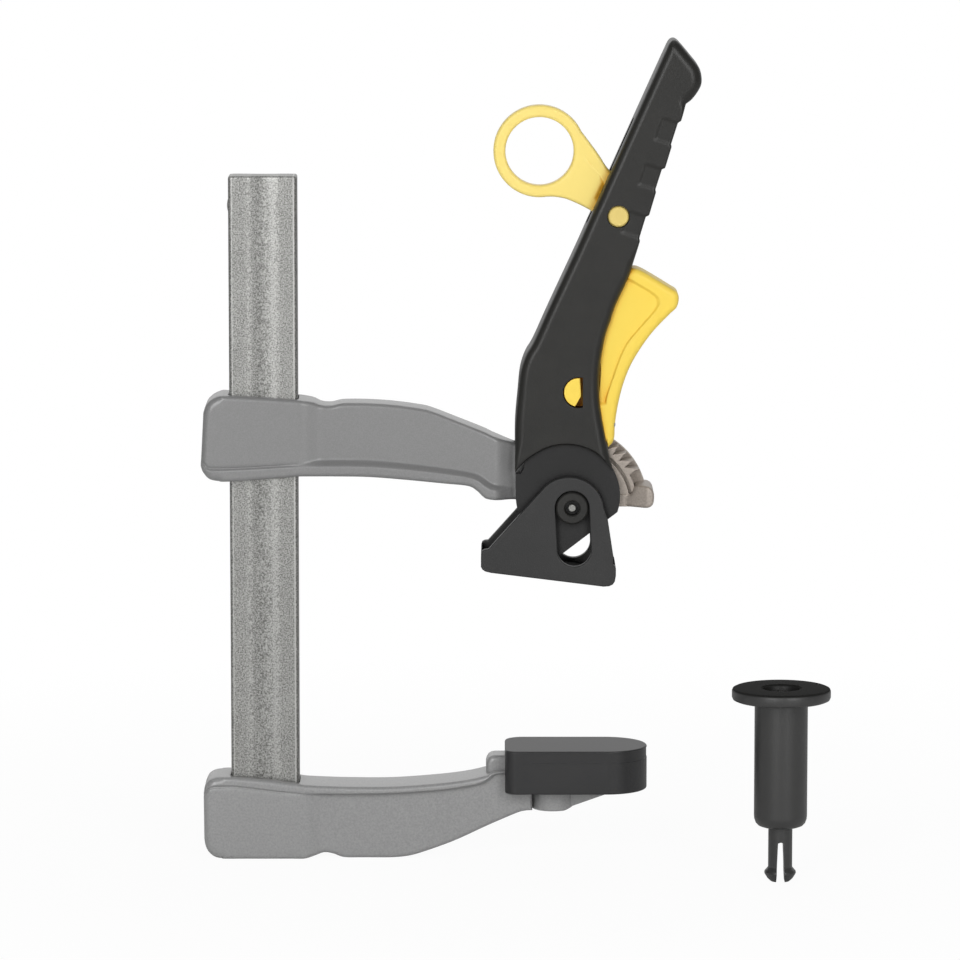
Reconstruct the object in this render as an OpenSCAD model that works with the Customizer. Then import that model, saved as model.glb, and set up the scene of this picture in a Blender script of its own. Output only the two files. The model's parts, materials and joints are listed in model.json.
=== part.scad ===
// Quick release bar clamp: flat bar, two cast arms, a cam lever held by a ratchet sector,
// a swivelling pressure foot and a snap-in mounting peg. Millimetres.
// The clamp stands on the fixed jaw: X from the bar to the jaws, Z up the bar, front face to -Y.

/* [Bar] */
// Width of the flat bar
bar_w = 20; // [18:0.5:22]
// Thickness of the flat bar
bar_t = 10; // [9:0.25:10.5]
// Height of the bar's top end above the base
bar_top = 202; // [190:1:240]
// Radius of the bar's long edges
bar_edge_r = 1.2; // [0.6:0.1:1.8]
// Width of the shallow groove down each face of the bar
groove_w = 9.6; // [8:0.2:14]
// Depth of the shallow groove
groove_d = 0.6; // [0.2:0.05:0.8]
// Chamfer round the bar's top end
bar_end = 0.7; // [0.3:0.1:1.2]
// Diameter of the stop pin near the bar's top
stop_pin_d = 4; // [3:0.25:5]
// Length of the stop pin
stop_pin_l = 10; // [6:0.5:12]
// Distance of the stop pin below the bar's top
stop_pin_drop = 8.8; // [6:0.2:14]
// How far the stop pin stands proud of the bar
stop_pin_proud = 0.45; // [0.3:0.05:0.8]

/* [Arms] */
// Distance from the bar's axis to the lever's pivot
reach = 90.4; // [86:0.2:100]
// Height of the fixed jaw's collar
jaw_h = 24.6; // [22:0.2:27]
// Height of the sliding arm's collar
collar_h = 25.3; // [23:0.2:28]
// Height of the sliding arm's lower face above the base
arm_low = 112.6; // [105:0.5:125]
// Thickness of both collars
collar_t = 16.6; // [15.5:0.1:18]
// Thickness of the arms' webs
web_t = 12.4; // [10:0.2:14]
// Thickness of the rims along the throat
rim_t = 17.2; // [16.5:0.1:18.5]
// Thickness of the hub and the ratchet sector
hub_t = 8; // [6:0.2:8.6]
// Drop of the pivot below the sliding arm's lower face
pivot_drop = 7.45; // [6:0.1:9]
// Depth of the bar's socket floor in the fixed jaw
socket_floor = 3; // [2:0.25:6]

/* [Ratchet] */
// Radius over the tooth tips
tip_r = 22.3; // [21.6:0.1:23.2]
// Depth of the teeth
tooth_h = 3.1; // [2:0.1:3.5]
// Angle from one tooth to the next
tooth_step = 7.8; // [7:0.1:9]
// Angle of the lowest tooth tip above the level
first_tooth = 28.2; // [27:0.1:30]
// Number of teeth
teeth = 9; // [6:1:10]
// Thickness of the smooth wall behind the teeth
back_wall_t = 1.3; // [0.8:0.1:2]
// Thickness of the stop block at the sector's lower end
stop_t = 16; // [14:0.25:17]

/* [Jaw pad] */
// Length of the pad
pad_l = 42; // [38:0.5:48]
// Width of the pad
pad_w = 24.7; // [22:0.5:30]
// Height of the pad
pad_h = 12.9; // [11:0.2:16]
// Height of the pad's top face above the base
pad_top = 33.1; // [31.5:0.1:36]
// Place of the pad's left face from the bar's axis
pad_x = 70.8; // [69:0.2:74]
// Width of the cast head inside the pad
head_w = 17; // [14:0.5:19]
// Thickness of the pad over the head
pad_skin = 6.7; // [5:0.1:8]

/* [Lever] */
// Length from the pivot to the handle's tip
lever_l = 136.7; // [125:0.5:150]
// Thickness of the handle
handle_t = 18; // [17:0.25:20]
// Wall of the handle
handle_wall = 2.4; // [1.8:0.1:2.6]
// Thickness of each cam plate
cam_t = 3; // [2:0.1:3.2]
// Radius of the cam plates' round end
disc_r = 15.3; // [14:0.1:16]
// Radius of the pressing nose
nose_r = 4.8; // [4:0.1:5.2]
// Height of the cam plates' tangs above the pivot
tang_h = 42; // [38:0.5:46]

/* [Trigger] */
// Radius of the trunnion
trunnion_r = 4.25; // [3.5:0.05:4.6]
// Width of the finger plate
trigger_w = 12.6; // [11:0.1:13]
// Width of the trigger between the cam plates
trigger_core = 7.9; // [6:0.1:8]
// Diameter of the pawl's pin
pawl_pin_d = 2; // [1.5:0.1:2.2]
// Outer diameter of the trigger's spring
spring_d = 5; // [4:0.1:5.6]
// Wire of the spring
spring_wire = 0.6; // [0.4:0.05:0.8]

/* [Ring] */
// Outer radius of the ring
ring_r = 13.45; // [12.5:0.1:15]
// Radius of the ring's finger hole
ring_hole_r = 9.9; // [9:0.1:11]
// Thickness of the ring
ring_t = 5.6; // [4:0.1:6]
// Radius of the ring's pivot pin
ring_pin_r = 2.9; // [2:0.1:3.1]

/* [Foot] */
// Outer width of the shoe
foot_w = 20.8; // [20.4:0.1:22]
// Thickness of each side plate
foot_plate_t = 3; // [2.5:0.1:3]
// Width of the slots
slot_w = 9.94; // [9.8:0.02:10.4]
// Length of the slots between their round ends
slot_l = 12.4; // [11:0.1:13]
// Thickness of the shoe's base
foot_base_t = 3.4; // [2.6:0.1:3.6]
// Length of the shoe's base
foot_l = 38.6; // [37:0.2:42]

/* [Pivot] */
// Diameter of the pin through the hub and the cam plates
pin_d = 6; // [5:0.1:7]
// Diameter of the pin's reduced ends
pin_end_d = 4.4; // [3:0.1:4.8]
// Diameter of the round nub on each end
nub_d = 2.2; // [1.4:0.1:2.6]
// Outer diameter of the bushes
bush_d = 9.6; // [8.8:0.05:9.7]

/* [Peg] */
// Place of the peg beside the clamp
peg_x = 150.5; // [135:0.5:170]
// Place of the peg in front of the clamp
peg_y = -38; // [-60:1:-25]
// Diameter of the peg's head
peg_head_d = 28.6; // [24:0.2:34]
// Thickness of the peg's head
peg_head_t = 3.6; // [2.5:0.1:5]
// Diameter of the sleeve
peg_d = 15.4; // [14:0.1:16]
// Length of the sleeve
peg_l = 37; // [30:0.5:45]
// Diameter of the snap neck
neck_d = 7; // [6:0.1:7.2]
// Length of the neck below the sleeve
neck_l = 12.2; // [10:0.2:14]
// Diameter over the barbs
barb_d = 9.2; // [8:0.1:9.6]
// Length of the barbs
barb_l = 4; // [3:0.1:5]
// Width of the slit that lets the barbs spring
slit_w = 1.8; // [1:0.1:2.4]

/* [Hidden] */
$fn = 64;
over = 1;
// Clearances: bar in the arm, running fits, side play between plates, visible seams
slide_gap = 0.3;
run_gap = 0.05;
side_gap = 0.15;
seam = 0.25;
near = 0.3;
// Round number of steps on a smooth outline
steps = 4;
arc_steps = 8;

pivot_z = arm_low - pivot_drop;
cam_y = hub_t / 2 + side_gap;
cam_out = cam_y + cam_t;
foot_y = foot_w / 2 - foot_plate_t;
tooth_angle = first_tooth + tooth_step * (teeth - 1);
root_r = tip_r - tooth_h;

// Points of a smooth line through p, with n steps from one point to the next
function span_point(a, b, c, d, t) =
    b + t * (c - a) / 2 + t * t * (2 * a - 5 * b + 4 * c - d) / 2
    + t * t * t * (3 * b - a - 3 * c + d) / 2;
function curve(p, n = steps) = concat(
    [for (i = [0:len(p) - 2]) for (k = [0:n - 1])
        span_point(p[max(i - 1, 0)], p[i], p[i + 1], p[min(i + 2, len(p) - 1)], k / n)],
    [p[len(p) - 1]]);
// Shares turned into places: each axis follows its own size
function sized(shares, w, h) = [for (s = shares) [s[0] * w, s[1] * h]];
// A point at an angle and distance
function polar(a, r) = [r * cos(a), r * sin(a)];
function arc(c, r, a, b) = [for (k = [0:arc_steps]) c + polar(a + (b - a) * k / arc_steps, r)];
// A flat plate between two depths, drawn in X and Z
module plate(y0, y1) {
    translate([0, y1, 0])
        rotate([90, 0, 0])
            linear_extrude(y1 - y0)
                children();
}

// A pin along Y between two depths
module pin(c, r, y0, y1) {
    translate([c[0], y1, c[1]])
        rotate([90, 0, 0])
            cylinder(r = r, h = y1 - y0);
}

// Moves what is drawn from the pivot to its place on the clamp
module at_pivot() {
    translate([reach, 0, pivot_z])
        children();
}

// A flat bar's section with round corners
module round_rect(w, h, r) {
    polygon(concat(
        arc([w / 2 - r, h / 2 - r], r, 0, 90),
        arc([r - w / 2, h / 2 - r], r, 90, 180),
        arc([r - w / 2, r - h / 2], r, 180, 270),
        arc([w / 2 - r, r - h / 2], r, 270, 360)));
}

// The groove is a slice of a large round, so its radius follows from width and depth
groove_r = (groove_w * groove_w / 4 + groove_d * groove_d) / (2 * groove_d);

// A side of the bar's top end, with its two corners chamfered
module end_side(w) {
    polygon([[-w / 2, 0], [w / 2, 0], [w / 2, bar_top - bar_end], [w / 2 - bar_end, bar_top],
        [bar_end - w / 2, bar_top], [-w / 2, bar_top - bar_end]]);
}

module bar() {
    color("#A5A5A2")
        difference() {
            intersection() {
                translate([0, 0, socket_floor])
                    linear_extrude(bar_top - socket_floor)
                        round_rect(bar_w, bar_t, bar_edge_r);
                plate(-bar_w, bar_w)
                    end_side(bar_w);
                rotate([0, 0, 90])
                    plate(-bar_w, bar_w)
                        end_side(bar_t);
            }
            for (side = [-1, 1])
                translate([0, side * (bar_t / 2 + groove_r - groove_d), jaw_h])
                    cylinder(r = groove_r, h = bar_top - jaw_h + over, $fn = 120);
            translate([-bar_w / 2 - over, 0, bar_top - stop_pin_drop])
                rotate([0, 90, 0])
                    cylinder(d = stop_pin_d, h = stop_pin_l + over - stop_pin_proud);
        }
}

module bar_stop_pin() {
    dome_r = (stop_pin_d * stop_pin_d / 4 + stop_pin_proud * stop_pin_proud) / (2 * stop_pin_proud);
    color("#8E8E8B")
        translate([-bar_w / 2, 0, bar_top - stop_pin_drop])
            rotate([0, 90, 0]) {
                cylinder(d = stop_pin_d, h = stop_pin_l - stop_pin_proud);
                intersection() {
                    translate([0, 0, -stop_pin_proud])
                        cylinder(d = stop_pin_d, h = stop_pin_proud + over);
                    translate([0, 0, dome_r - stop_pin_proud])
                        sphere(r = dome_r);
                }
            }
}

// Plan of an arm: thick collar, a slope down to the web, then on to the given end
collar_side_share = 0.138;
collar_foot_share = 0.194;
module arm_plan(end_x) {
    collar_x = reach * collar_side_share;
    web_x = reach * collar_foot_share;
    polygon([
        [-bar_w, -collar_t / 2], [collar_x, -collar_t / 2], [web_x, -web_t / 2],
        [end_x, -web_t / 2], [end_x, web_t / 2], [web_x, web_t / 2],
        [collar_x, collar_t / 2], [-bar_w, collar_t / 2]]);
}

// Fixed jaw outline: X in shares of the reach, Z in shares of the collar's height
jaw_back_shares = [[-0.143, 0], [-0.168, 0.024], [-0.185, 0.085], [-0.1925, 0.183]];
jaw_left_shares = [[-0.2, 0.69], [-0.198, 0.85], [-0.187, 0.943], [-0.167, 0.992],
    [-0.14, 1], [-0.104, 1], [-0.01, 0.972], [0.052, 0.943], [0.114, 0.915], [0.144, 0.902],
    [0.261, 0.886], [0.418, 0.886], [0.571, 0.925], [0.664, 0.967], [0.724, 1.016]];
jaw_under_shares = [[0.724, 0.385], [0.622, 0.211], [0.53, 0.089], [0.47, 0.02], [0.42, 0]];
jaw_dip_shares = [[0.255, 0], [0.222, 0.049], [0.191, 0.065], [0.16, 0.028], [0.125, 0]];
rim_low_shares = [[0.745, 0.985], [0.705, 0.9], [0.571, 0.833], [0.408, 0.793], [0.264, 0.785],
    [0.147, 0.789], [0.085, 0.797], [0.021, 0.821], [-0.042, 0.85], [-0.104, 0.878],
    [-0.17, 0.878]];

// The cast head that the pad covers, and the round boss under it
head_x = pad_x + pad_l - pad_w / 2;
head_top = pad_top - pad_skin;
pad_low = pad_top - pad_h;
boss_x = pad_x + pad_w * 0.583;
boss_r = head_w * 0.374;
socket_gap = 0.2;
socket_r = neck_d / 2 + socket_gap;
boss_low = head_top - neck_l;
web_end = boss_x - boss_r * 1.12;
gusset_t = web_t * 0.65;
lug_t = head_w * 0.53;
lug_x = pad_x - lug_t * 0.62;
lug_top = pad_top - pad_h * 0.194;
head_gap = near;
head_under_shares = [[0.724, 0.385], [0.77, 0.457], [0.815, 0.533], [0.845, 0.569],
    [0.864, 0.575]];

module jaw_outline() {
    polygon(concat(
        curve(sized(jaw_back_shares, reach, jaw_h)),
        curve(sized(jaw_left_shares, reach, jaw_h)),
        curve(sized(jaw_under_shares, reach, jaw_h)),
        curve(sized(jaw_dip_shares, reach, jaw_h))));
}

module jaw_rim_outline() {
    polygon(concat(
        curve([for (i = [2:len(jaw_left_shares) - 1])
            [jaw_left_shares[i][0] * reach, jaw_left_shares[i][1] * jaw_h]]),
        curve(sized(rim_low_shares, reach, jaw_h))));
}

module fixed_jaw() {
    color("#8F8F8F")
        difference() {
            union() {
                intersection() {
                    plate(-collar_t, collar_t)
                        jaw_outline();
                    linear_extrude(pad_top)
                        arm_plan(reach * 0.724);
                }
                plate(-rim_t / 2, rim_t / 2)
                    jaw_rim_outline();
                jaw_head();
            }
            translate([0, 0, socket_floor])
                linear_extrude(jaw_h + over)
                    round_rect(bar_w, bar_t, bar_edge_r);
            translate([boss_x, 0, boss_low - over])
                cylinder(r = socket_r, h = pad_h + over * 8);
        }
}

// The web runs on to the boss for the peg, then a thin gusset carries the head in the pad
module jaw_head() {
    lug_round = lug_t * 0.22;
    plate(-web_t / 2, web_t / 2)
        polygon(concat(
            [[reach * 0.7, head_under_shares[0][1] * jaw_h]],
            sized(head_under_shares, reach, jaw_h),
            [[web_end, head_under_shares[4][1] * jaw_h], [web_end, head_top],
                [reach * 0.7, head_top]]));
    plate(-gusset_t / 2, gusset_t / 2)
        boss_side();
    intersection() {
        plate(-head_w, head_w)
            boss_side();
        translate([boss_x, 0, boss_low - over])
            cylinder(r = boss_r, h = head_top);
    }
    translate([pad_x, -head_w / 2, pad_low])
        cube([head_x - pad_x, head_w, head_top - pad_low]);
    intersection() {
        translate([head_x, 0, pad_low])
            cylinder(d = head_w, h = head_top - pad_low);
        translate([head_x - over, -head_w, 0])
            cube([head_w, head_w * 2, pad_top]);
    }
    plate(-lug_t / 2, lug_t / 2)
        polygon(concat(
            [[pad_x - near, pad_low], [lug_x, pad_low]],
            arc([lug_x + lug_round, lug_top - lug_round], lug_round, 180, 90),
            [[pad_x - near, lug_top]]));
}

// Side view of the boss and the gusset, whose underside slopes up to the pad
module boss_side() {
    slope_end = pad_low - pad_h * 0.1;
    polygon([[web_end - over, boss_low], [boss_x + boss_r * 0.47, boss_low],
        [head_x, slope_end], [head_x, head_top], [web_end - over, head_top]]);
}

// D-shaped in plan, with a pocket that slips over the head from the right
module pad_plan(inset = 0) {
    r = pad_w / 2 - inset;
    c = pad_x + pad_l - pad_w / 2;
    corner = r * 0.28;
    polygon(concat(
        arc([c, 0], r, -90, 0), arc([c, 0], r, 0, 90),
        arc([pad_x + corner, r - corner], corner, 90, 180),
        arc([pad_x + corner, corner - r], corner, 180, 270)));
}

module jaw_pad() {
    step_d = pad_h * 0.03;
    color("#303030")
        difference() {
            translate([0, 0, pad_low])
                linear_extrude(pad_h)
                    pad_plan();
            translate([pad_x - over, -head_w / 2 - head_gap, pad_low - over])
                cube([head_x - pad_x + over, head_w + head_gap * 2, head_top - pad_low + over]);
            translate([head_x, 0, pad_low - over])
                cylinder(r = head_w / 2 + head_gap, h = head_top - pad_low + over);
            // Room above the head for the peg's barbs
            translate([boss_x, 0, head_top - over])
                cylinder(d = barb_d + near * 4, h = barb_l + over + near);
            // Shallow band along both sides and round the end
            difference() {
                translate([pad_x + pad_l * 0.13, -pad_w, pad_top - pad_h * 0.22])
                    cube([pad_l, pad_w * 2, pad_h * 0.18]);
                linear_extrude(pad_top)
                    pad_plan(step_d);
            }
        }
}

// Sliding arm outline, measured from its lower face
arm_left_shares = [[-0.145, 0], [-0.176, 0.028], [-0.1935, 0.1], [-0.2035, 0.18]];
arm_top_shares = [[-0.193, 0.82], [-0.178, 0.905], [-0.159, 0.968], [-0.139, 0.996],
    [-0.11, 1], [0.098, 0.957], [0.132, 0.949], [0.163, 0.921], [0.187, 0.885], [0.22, 0.877],
    [0.26, 0.905], [0.337, 0.905], [0.421, 0.885], [0.503, 0.846], [0.545, 0.81],
    [0.628, 0.696], [0.711, 0.577], [0.751, 0.51], [0.815, 0.427]];
arm_under_shares = [[0.815, -0.233], [0.732, -0.209], [0.711, -0.174], [0.691, -0.107],
    [0.663, -0.051], [0.588, -0.024], [0.463, 0.02], [0.352, 0.051], [0.264, 0.059],
    [0.111, 0.059], [-0.037, 0.016], [-0.108, 0]];
arm_rim_shares = [[-0.185, 0.158], [-0.098, 0.168], [0, 0.178], [0.1, 0.198], [0.18, 0.212],
    [0.264, 0.213], [0.361, 0.209], [0.504, 0.155], [0.629, 0.1], [0.69, 0.06],
    [0.722, -0.01], [0.75, -0.06], [0.815, -0.066]];
// Where the arm has narrowed to pass between the cheeks
neck_start_share = 0.765;
neck_end_share = 0.8;

module arm_outline() {
    polygon(concat(
        curve(sized(arm_left_shares, reach, collar_h)),
        curve(sized(arm_top_shares, reach, collar_h)),
        curve(sized(arm_under_shares, reach, collar_h))));
}

module arm_rim_outline() {
    polygon(concat(
        curve(sized(arm_rim_shares, reach, collar_h)),
        curve(sized(arm_under_shares, reach, collar_h)),
        sized([arm_left_shares[1]], reach, collar_h)));
}

module neck_plan(t) {
    polygon([[-bar_w * 2, -t / 2], [reach * neck_start_share, -t / 2],
        [reach * neck_end_share, -hub_t / 2], [reach, -hub_t / 2], [reach, hub_t / 2],
        [reach * neck_end_share, hub_t / 2], [reach * neck_start_share, t / 2],
        [-bar_w * 2, t / 2]]);
}

module sliding_arm() {
    color("#929292")
        difference() {
            union() {
                translate([0, 0, arm_low]) {
                    intersection() {
                        plate(-collar_t, collar_t)
                            arm_outline();
                        translate([0, 0, -collar_h])
                            linear_extrude(collar_h * 3)
                                arm_plan(reach);
                        translate([0, 0, -collar_h])
                            linear_extrude(collar_h * 3)
                                neck_plan(collar_t * 2);
                    }
                    intersection() {
                        plate(-rim_t / 2, rim_t / 2)
                            arm_rim_outline();
                        translate([0, 0, -collar_h])
                            linear_extrude(collar_h * 2)
                                neck_plan(rim_t);
                    }
                }
                at_pivot()
                    sector();
            }
            translate([0, 0, arm_low - collar_h / 2])
                linear_extrude(collar_h * 2)
                    round_rect(bar_w + slide_gap * 2, bar_t + slide_gap * 2, bar_edge_r);
            at_pivot()
                pin([0, 0], pin_d / 2 + run_gap / 2, -hub_t, hub_t);
        }
}

// The hub and its toothed sector: each tooth is steep above and slopes off below
band_r = root_r - tooth_h * 0.42;
hub_r = pin_d * 1.25;
stop_in = tip_r * 0.82;
stop_out = tip_r * 1.08;
stop_foot = tip_r * 0.725;
stop_mid = tip_r * 0.95;
stop_high = tip_r * 0.34;
stop_deep = tip_r * 0.022;
tongue_shares = [[-1.2, 0.94], [-0.745, 0.815], [-0.4, 0.77], [-0.1, 0.83], [0.135, 0.45],
    [0, -0.33], [-0.22, -0.25], [-0.4, -0.045], [-0.745, 0.067], [-1.2, 0.12]];

function tooth_row() = [for (k = [teeth - 1:-1:0]) let (a = first_tooth + k * tooth_step)
    for (r = [root_r, tip_r]) polar(a, r)];

module sector() {
    low = -1;
    inset = 0.5;
    plate(-hub_t / 2 + over, hub_t / 2 - over)
        polygon(concat([[0, 0]], arc([0, 0], band_r + near, low + inset, tooth_angle - inset)));
    // Toothed band in front, smooth wall behind
    plate(-hub_t / 2, hub_t / 2 - back_wall_t)
        polygon(concat(tooth_row(), [polar(first_tooth - tooth_step, root_r), polar(low, root_r)],
            arc([0, 0], band_r, low, tooth_angle)));
    plate(hub_t / 2 - back_wall_t, hub_t / 2)
        polygon(concat(arc([0, 0], tip_r, tooth_angle, low), arc([0, 0], band_r, low, tooth_angle)));
    pin([0, 0], hub_r, -hub_t / 2, hub_t / 2);
    plate(-hub_t / 2, hub_t / 2)
        polygon(sized(tongue_shares, tip_r, tip_r));
    // Thick foot of the web under the ledge, then the stop block that it widens to
    plate(-hub_t / 2, hub_t / 2)
        polygon([[0, -stop_deep], [0, stop_high * 0.42], [root_r, stop_high * 0.42],
            [root_r, -stop_deep]]);
    plate(-stop_t / 2, stop_t / 2)
        stop_outline();
    intersection() {
        plate(-stop_t / 2, stop_t / 2)
            polygon([[stop_foot, -stop_deep], [stop_foot, stop_high * 0.42],
                [stop_mid, stop_high * 0.42], [stop_mid, -stop_deep]]);
        linear_extrude(stop_high * 2, center = true)
            polygon([[stop_foot, -hub_t / 2], [stop_in, -stop_t / 2], [stop_mid, -stop_t / 2],
                [stop_mid, stop_t / 2], [stop_in, stop_t / 2], [stop_foot, hub_t / 2]]);
    }
}

module stop_outline() {
    r = stop_high * 0.25;
    polygon(concat(
        arc([stop_out - r, stop_high - r], r, 90, 0),
        arc([stop_out - r, r - stop_deep], r, 0, -90),
        arc([stop_in + r, r - stop_deep], r, 270, 180),
        arc([stop_in + r, stop_high - r], r, 180, 90)));
}

module pivot_pin() {
    color("#B8B8B4")
        at_pivot() {
            pin([0, 0], pin_d / 2, -cam_out, cam_out);
            pin([0, 0], pin_end_d / 2, -foot_w / 2 + over, foot_w / 2 - over);
            pin([0, 0], nub_d / 2, -foot_w / 2 + over / 2, foot_w / 2 - over / 2);
        }
}

module bush() {
    difference() {
        pin([0, 0], bush_d / 2, -foot_w / 2 - side_gap, -cam_out - side_gap);
        pin([0, 0], pin_end_d / 2 + run_gap, -foot_w, -cam_out + over);
    }
}

module foot_bush_front() {
    color("#1D1D1D")
        at_pivot()
            bush();
}

module foot_bush_back() {
    color("#1D1D1D")
        at_pivot()
            mirror([0, 1, 0])
                bush();
}

// Shoe outline from the pivot, in shares of the shoe's base length,
// with a small lip at both ends
foot_shares = [[-0.635, -0.316], [-0.663, -0.319], [-0.681, -0.329], [-0.688, -0.352],
    [-0.6917, -0.451], [-0.681, -0.4715], [-0.658, -0.487], [-0.614, -0.4977], [0.24, -0.6034],
    [0.282, -0.6], [0.31, -0.587], [0.326, -0.562], [0.3334, -0.518], [0.3334, -0.466],
    [0.3264, -0.4456], [0.3135, -0.4378], [0.3135, -0.368], [0.272, -0.096]];
foot_top = [-0.9, -1.1];
foot_top_r = 10.2;
foot_tilt = -7.05;
slot_tilt = 3;

module foot_outline() {
    polygon(concat(
        arc(foot_top, foot_top_r, 7, 139.8),
        sized(foot_shares, foot_l, foot_l)));
}

module slot() {
    rotate(slot_tilt) {
        circle(d = slot_w);
        translate([-slot_w / 2, -slot_l])
            square([slot_w, slot_l]);
        translate([0, -slot_l])
            circle(d = slot_w);
    }
}

module pressure_foot() {
    base_line = foot_l * 0.574;
    color("#3C3C3C")
        at_pivot() {
            for (side = [-1, 1])
                difference() {
                    plate(side * (foot_y + foot_plate_t / 2) - foot_plate_t / 2,
                        side * (foot_y + foot_plate_t / 2) + foot_plate_t / 2)
                        foot_outline();
                    plate(side * (foot_y + foot_plate_t / 2) - foot_plate_t,
                        side * (foot_y + foot_plate_t / 2) + foot_plate_t)
                        slot();
                }
            // Base between the plates, level with their lower edge
            intersection() {
                plate(-foot_y - near, foot_y + near)
                    foot_outline();
                rotate([0, -foot_tilt, 0])
                    translate([-foot_l, -foot_w, -base_line - foot_base_t])
                        cube([foot_l * 2, foot_w * 2, foot_base_t * 2 - near]);
            }
        }
}

// The cam: a round end with a straight back edge up to the cheeks, a nose, and a flat on the right
disc_c = [-1.2, 3.2];
nose_c = [-5.5, -10];
cam_flat_angle = -52.5;

function cam_outline() =
    let (v = nose_c - disc_c, left = atan2(v[1], v[0]) + 360 - acos((disc_r - nose_r) / norm(v)),
        flat = polar(cam_flat_angle, 1) * v + nose_r,
        right = cam_flat_angle + acos(flat / disc_r),
        edge_h = handle_left_shares[0][1] * lever_l - disc_c[1] - seam,
        edge = 180 - asin(edge_h / disc_r))
    concat(
        [for (k = [0:arc_steps * 4]) disc_c + polar(right + (edge - right) * k / arc_steps / 4, disc_r)],
        [disc_c + [-disc_r, edge_h]],
        arc(disc_c, disc_r, 180, left),
        arc(nose_c, nose_r, left, cam_flat_angle + 360));

module cam_plate() {
    difference() {
        union() {
            plate(-cam_out, -cam_y)
                polygon(cam_outline());
            plate(-cam_out, -cam_y)
                intersection() {
                    polygon(handle_low(handle_wall + side_gap));
                    translate([-lever_l, 0])
                        square([lever_l * 2, tang_h]);
                }
        }
        pin([0, 0], pin_d / 2 + run_gap, -handle_t, 0);
        pin(trunnion_c, trunnion_r + near, -handle_t, 0);
    }
}

module cam_plate_front() {
    color("#2B2B2B")
        at_pivot()
            cam_plate();
}

module cam_plate_back() {
    color("#2B2B2B")
        at_pivot()
            mirror([0, 1, 0])
                cam_plate();
}

// Handle outline from the pivot, in shares of the lever's length: up the left edge,
// round the tip, down the stepped grip and the waist to the right end of the cheeks
handle_left_shares = [[-0.122, 0.0735], [-0.122, 0.12], [-0.122, 0.165], [-0.121, 0.196],
    [-0.116, 0.244], [-0.112, 0.292], [-0.105, 0.325], [-0.09, 0.354], [-0.059, 0.426],
    [-0.012, 0.531], [0.01, 0.573], [0.03, 0.614], [0.059, 0.668], [0.078, 0.726],
    [0.126, 0.832], [0.165, 0.926], [0.1975, 0.99], [0.205, 0.998], [0.214, 1],
    [0.229, 0.989], [0.2685, 0.939], [0.274, 0.912], [0.2685, 0.893], [0.253, 0.873]];
handle_right_shares = [[0.24, 0.864], [0.23, 0.828], [0.223, 0.824], [0.2085, 0.778],
    [0.21, 0.774], [0.196, 0.728], [0.1895, 0.7255], [0.1755, 0.682], [0.177, 0.677],
    [0.1625, 0.627], [0.156, 0.6245], [0.142, 0.579], [0.1435, 0.573]];
handle_waist_shares = [[0.128, 0.52], [0.119, 0.492], [0.093, 0.435], [0.082, 0.402],
    [0.0695, 0.364], [0.059, 0.301], [0.058, 0.244], [0.063, 0.196], [0.075, 0.133],
    [0.085, 0.09], [0.0915, 0.064]];
function handle_points() = concat(
    curve(sized(handle_left_shares, lever_l, lever_l), 3),
    sized(handle_right_shares, lever_l, lever_l),
    curve(sized(handle_waist_shares, lever_l, lever_l), 3));
// The lower part of the same outline with both edges moved in, for the tangs and their pocket
function handle_low(wall) = concat(
    [for (p = curve([for (i = [0:6]) handle_left_shares[i] * lever_l], 3)) p + [wall, 0]],
    [for (p = curve([for (i = [5:9]) handle_waist_shares[i] * lever_l], 3)) p - [wall, 0]]);

trunnion_c = [0.01317 * lever_l, 0.248 * lever_l];
window_flat = trunnion_r * 0.306;
ring_pin_c = [0.09729 * lever_l, 0.62473 * lever_l];
channel_shares = [[-0.062, 0.3], [-0.035, 0.424], [0.002, 0.507], [0.022, 0.553],
    [0.129, 0.527], [0.23, 0.513], [0.23, 0.1], [0.05, 0.1], [0.035, 0.3]];
ring_slot_shares = [[0.06, 0.585], [0.113, 0.587], [0.136, 0.615], [0.145, 0.7], [0.165, 0.79],
    [0.09, 0.88], [-0.05, 0.88], [-0.05, 0.66]];

// Three shallow finger rests on each cheek: where they start along the grip, and their length
grip_lean = 18.5;
rest_d = handle_t * 0.03;
rest_shares = [[0.592, 0.05], [0.7, 0.05], [0.803, 0.052]];

module finger_rests() {
    reach_in = lever_l * 0.085;
    rotate(-grip_lean)
        for (s = rest_shares)
            translate([-reach_in, s[0] * lever_l])
                square([reach_in, s[1] * lever_l]);
}

module handle_shell() {
    color("#262624")
        at_pivot()
            difference() {
                plate(-handle_t / 2, handle_t / 2)
                    polygon(handle_points());
                // Cheeks end round the cam plates' discs
                pin(disc_c, disc_r + seam, -handle_t, handle_t);
                // Pocket for the cam plates' tangs
                plate(-cam_out - side_gap, cam_out + side_gap)
                    intersection() {
                        polygon(handle_low(handle_wall));
                        translate([-lever_l, 0])
                            square([lever_l * 2, tang_h + near]);
                    }
                // Channel for the trigger, open along the right edge
                plate(-trigger_w / 2 - near, trigger_w / 2 + near)
                    polygon(sized(channel_shares, lever_l, lever_l));
                // Room for the arm and the sector
                pin([0, 0], tip_r + near * 3, -cam_y, cam_y);
                plate(-cam_y, cam_y)
                    translate([-tip_r, 0])
                        square([tip_r, tip_r * 0.86]);
                plate(-handle_t, handle_t)
                    trunnion_window();
                pin(ring_pin_c, ring_pin_r, -handle_t, handle_t);
                plate(-ring_t / 2 - side_gap, ring_t / 2 + side_gap)
                    ring_slot();
                // Seat of the spring in the spine
                spring_place(spring_d / 2 + near, near);
                for (side = [-1, 1])
                    plate(side * handle_t / 2 - rest_d, side * handle_t / 2 + rest_d)
                        finger_rests();
            }
}

module trunnion_window() {
    r = trunnion_r + near;
    intersection() {
        translate(trunnion_c)
            circle(r = r);
        translate([trunnion_c[0] - r, trunnion_c[1] - r])
            square([r + window_flat, r * 2]);
    }
}

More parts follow.
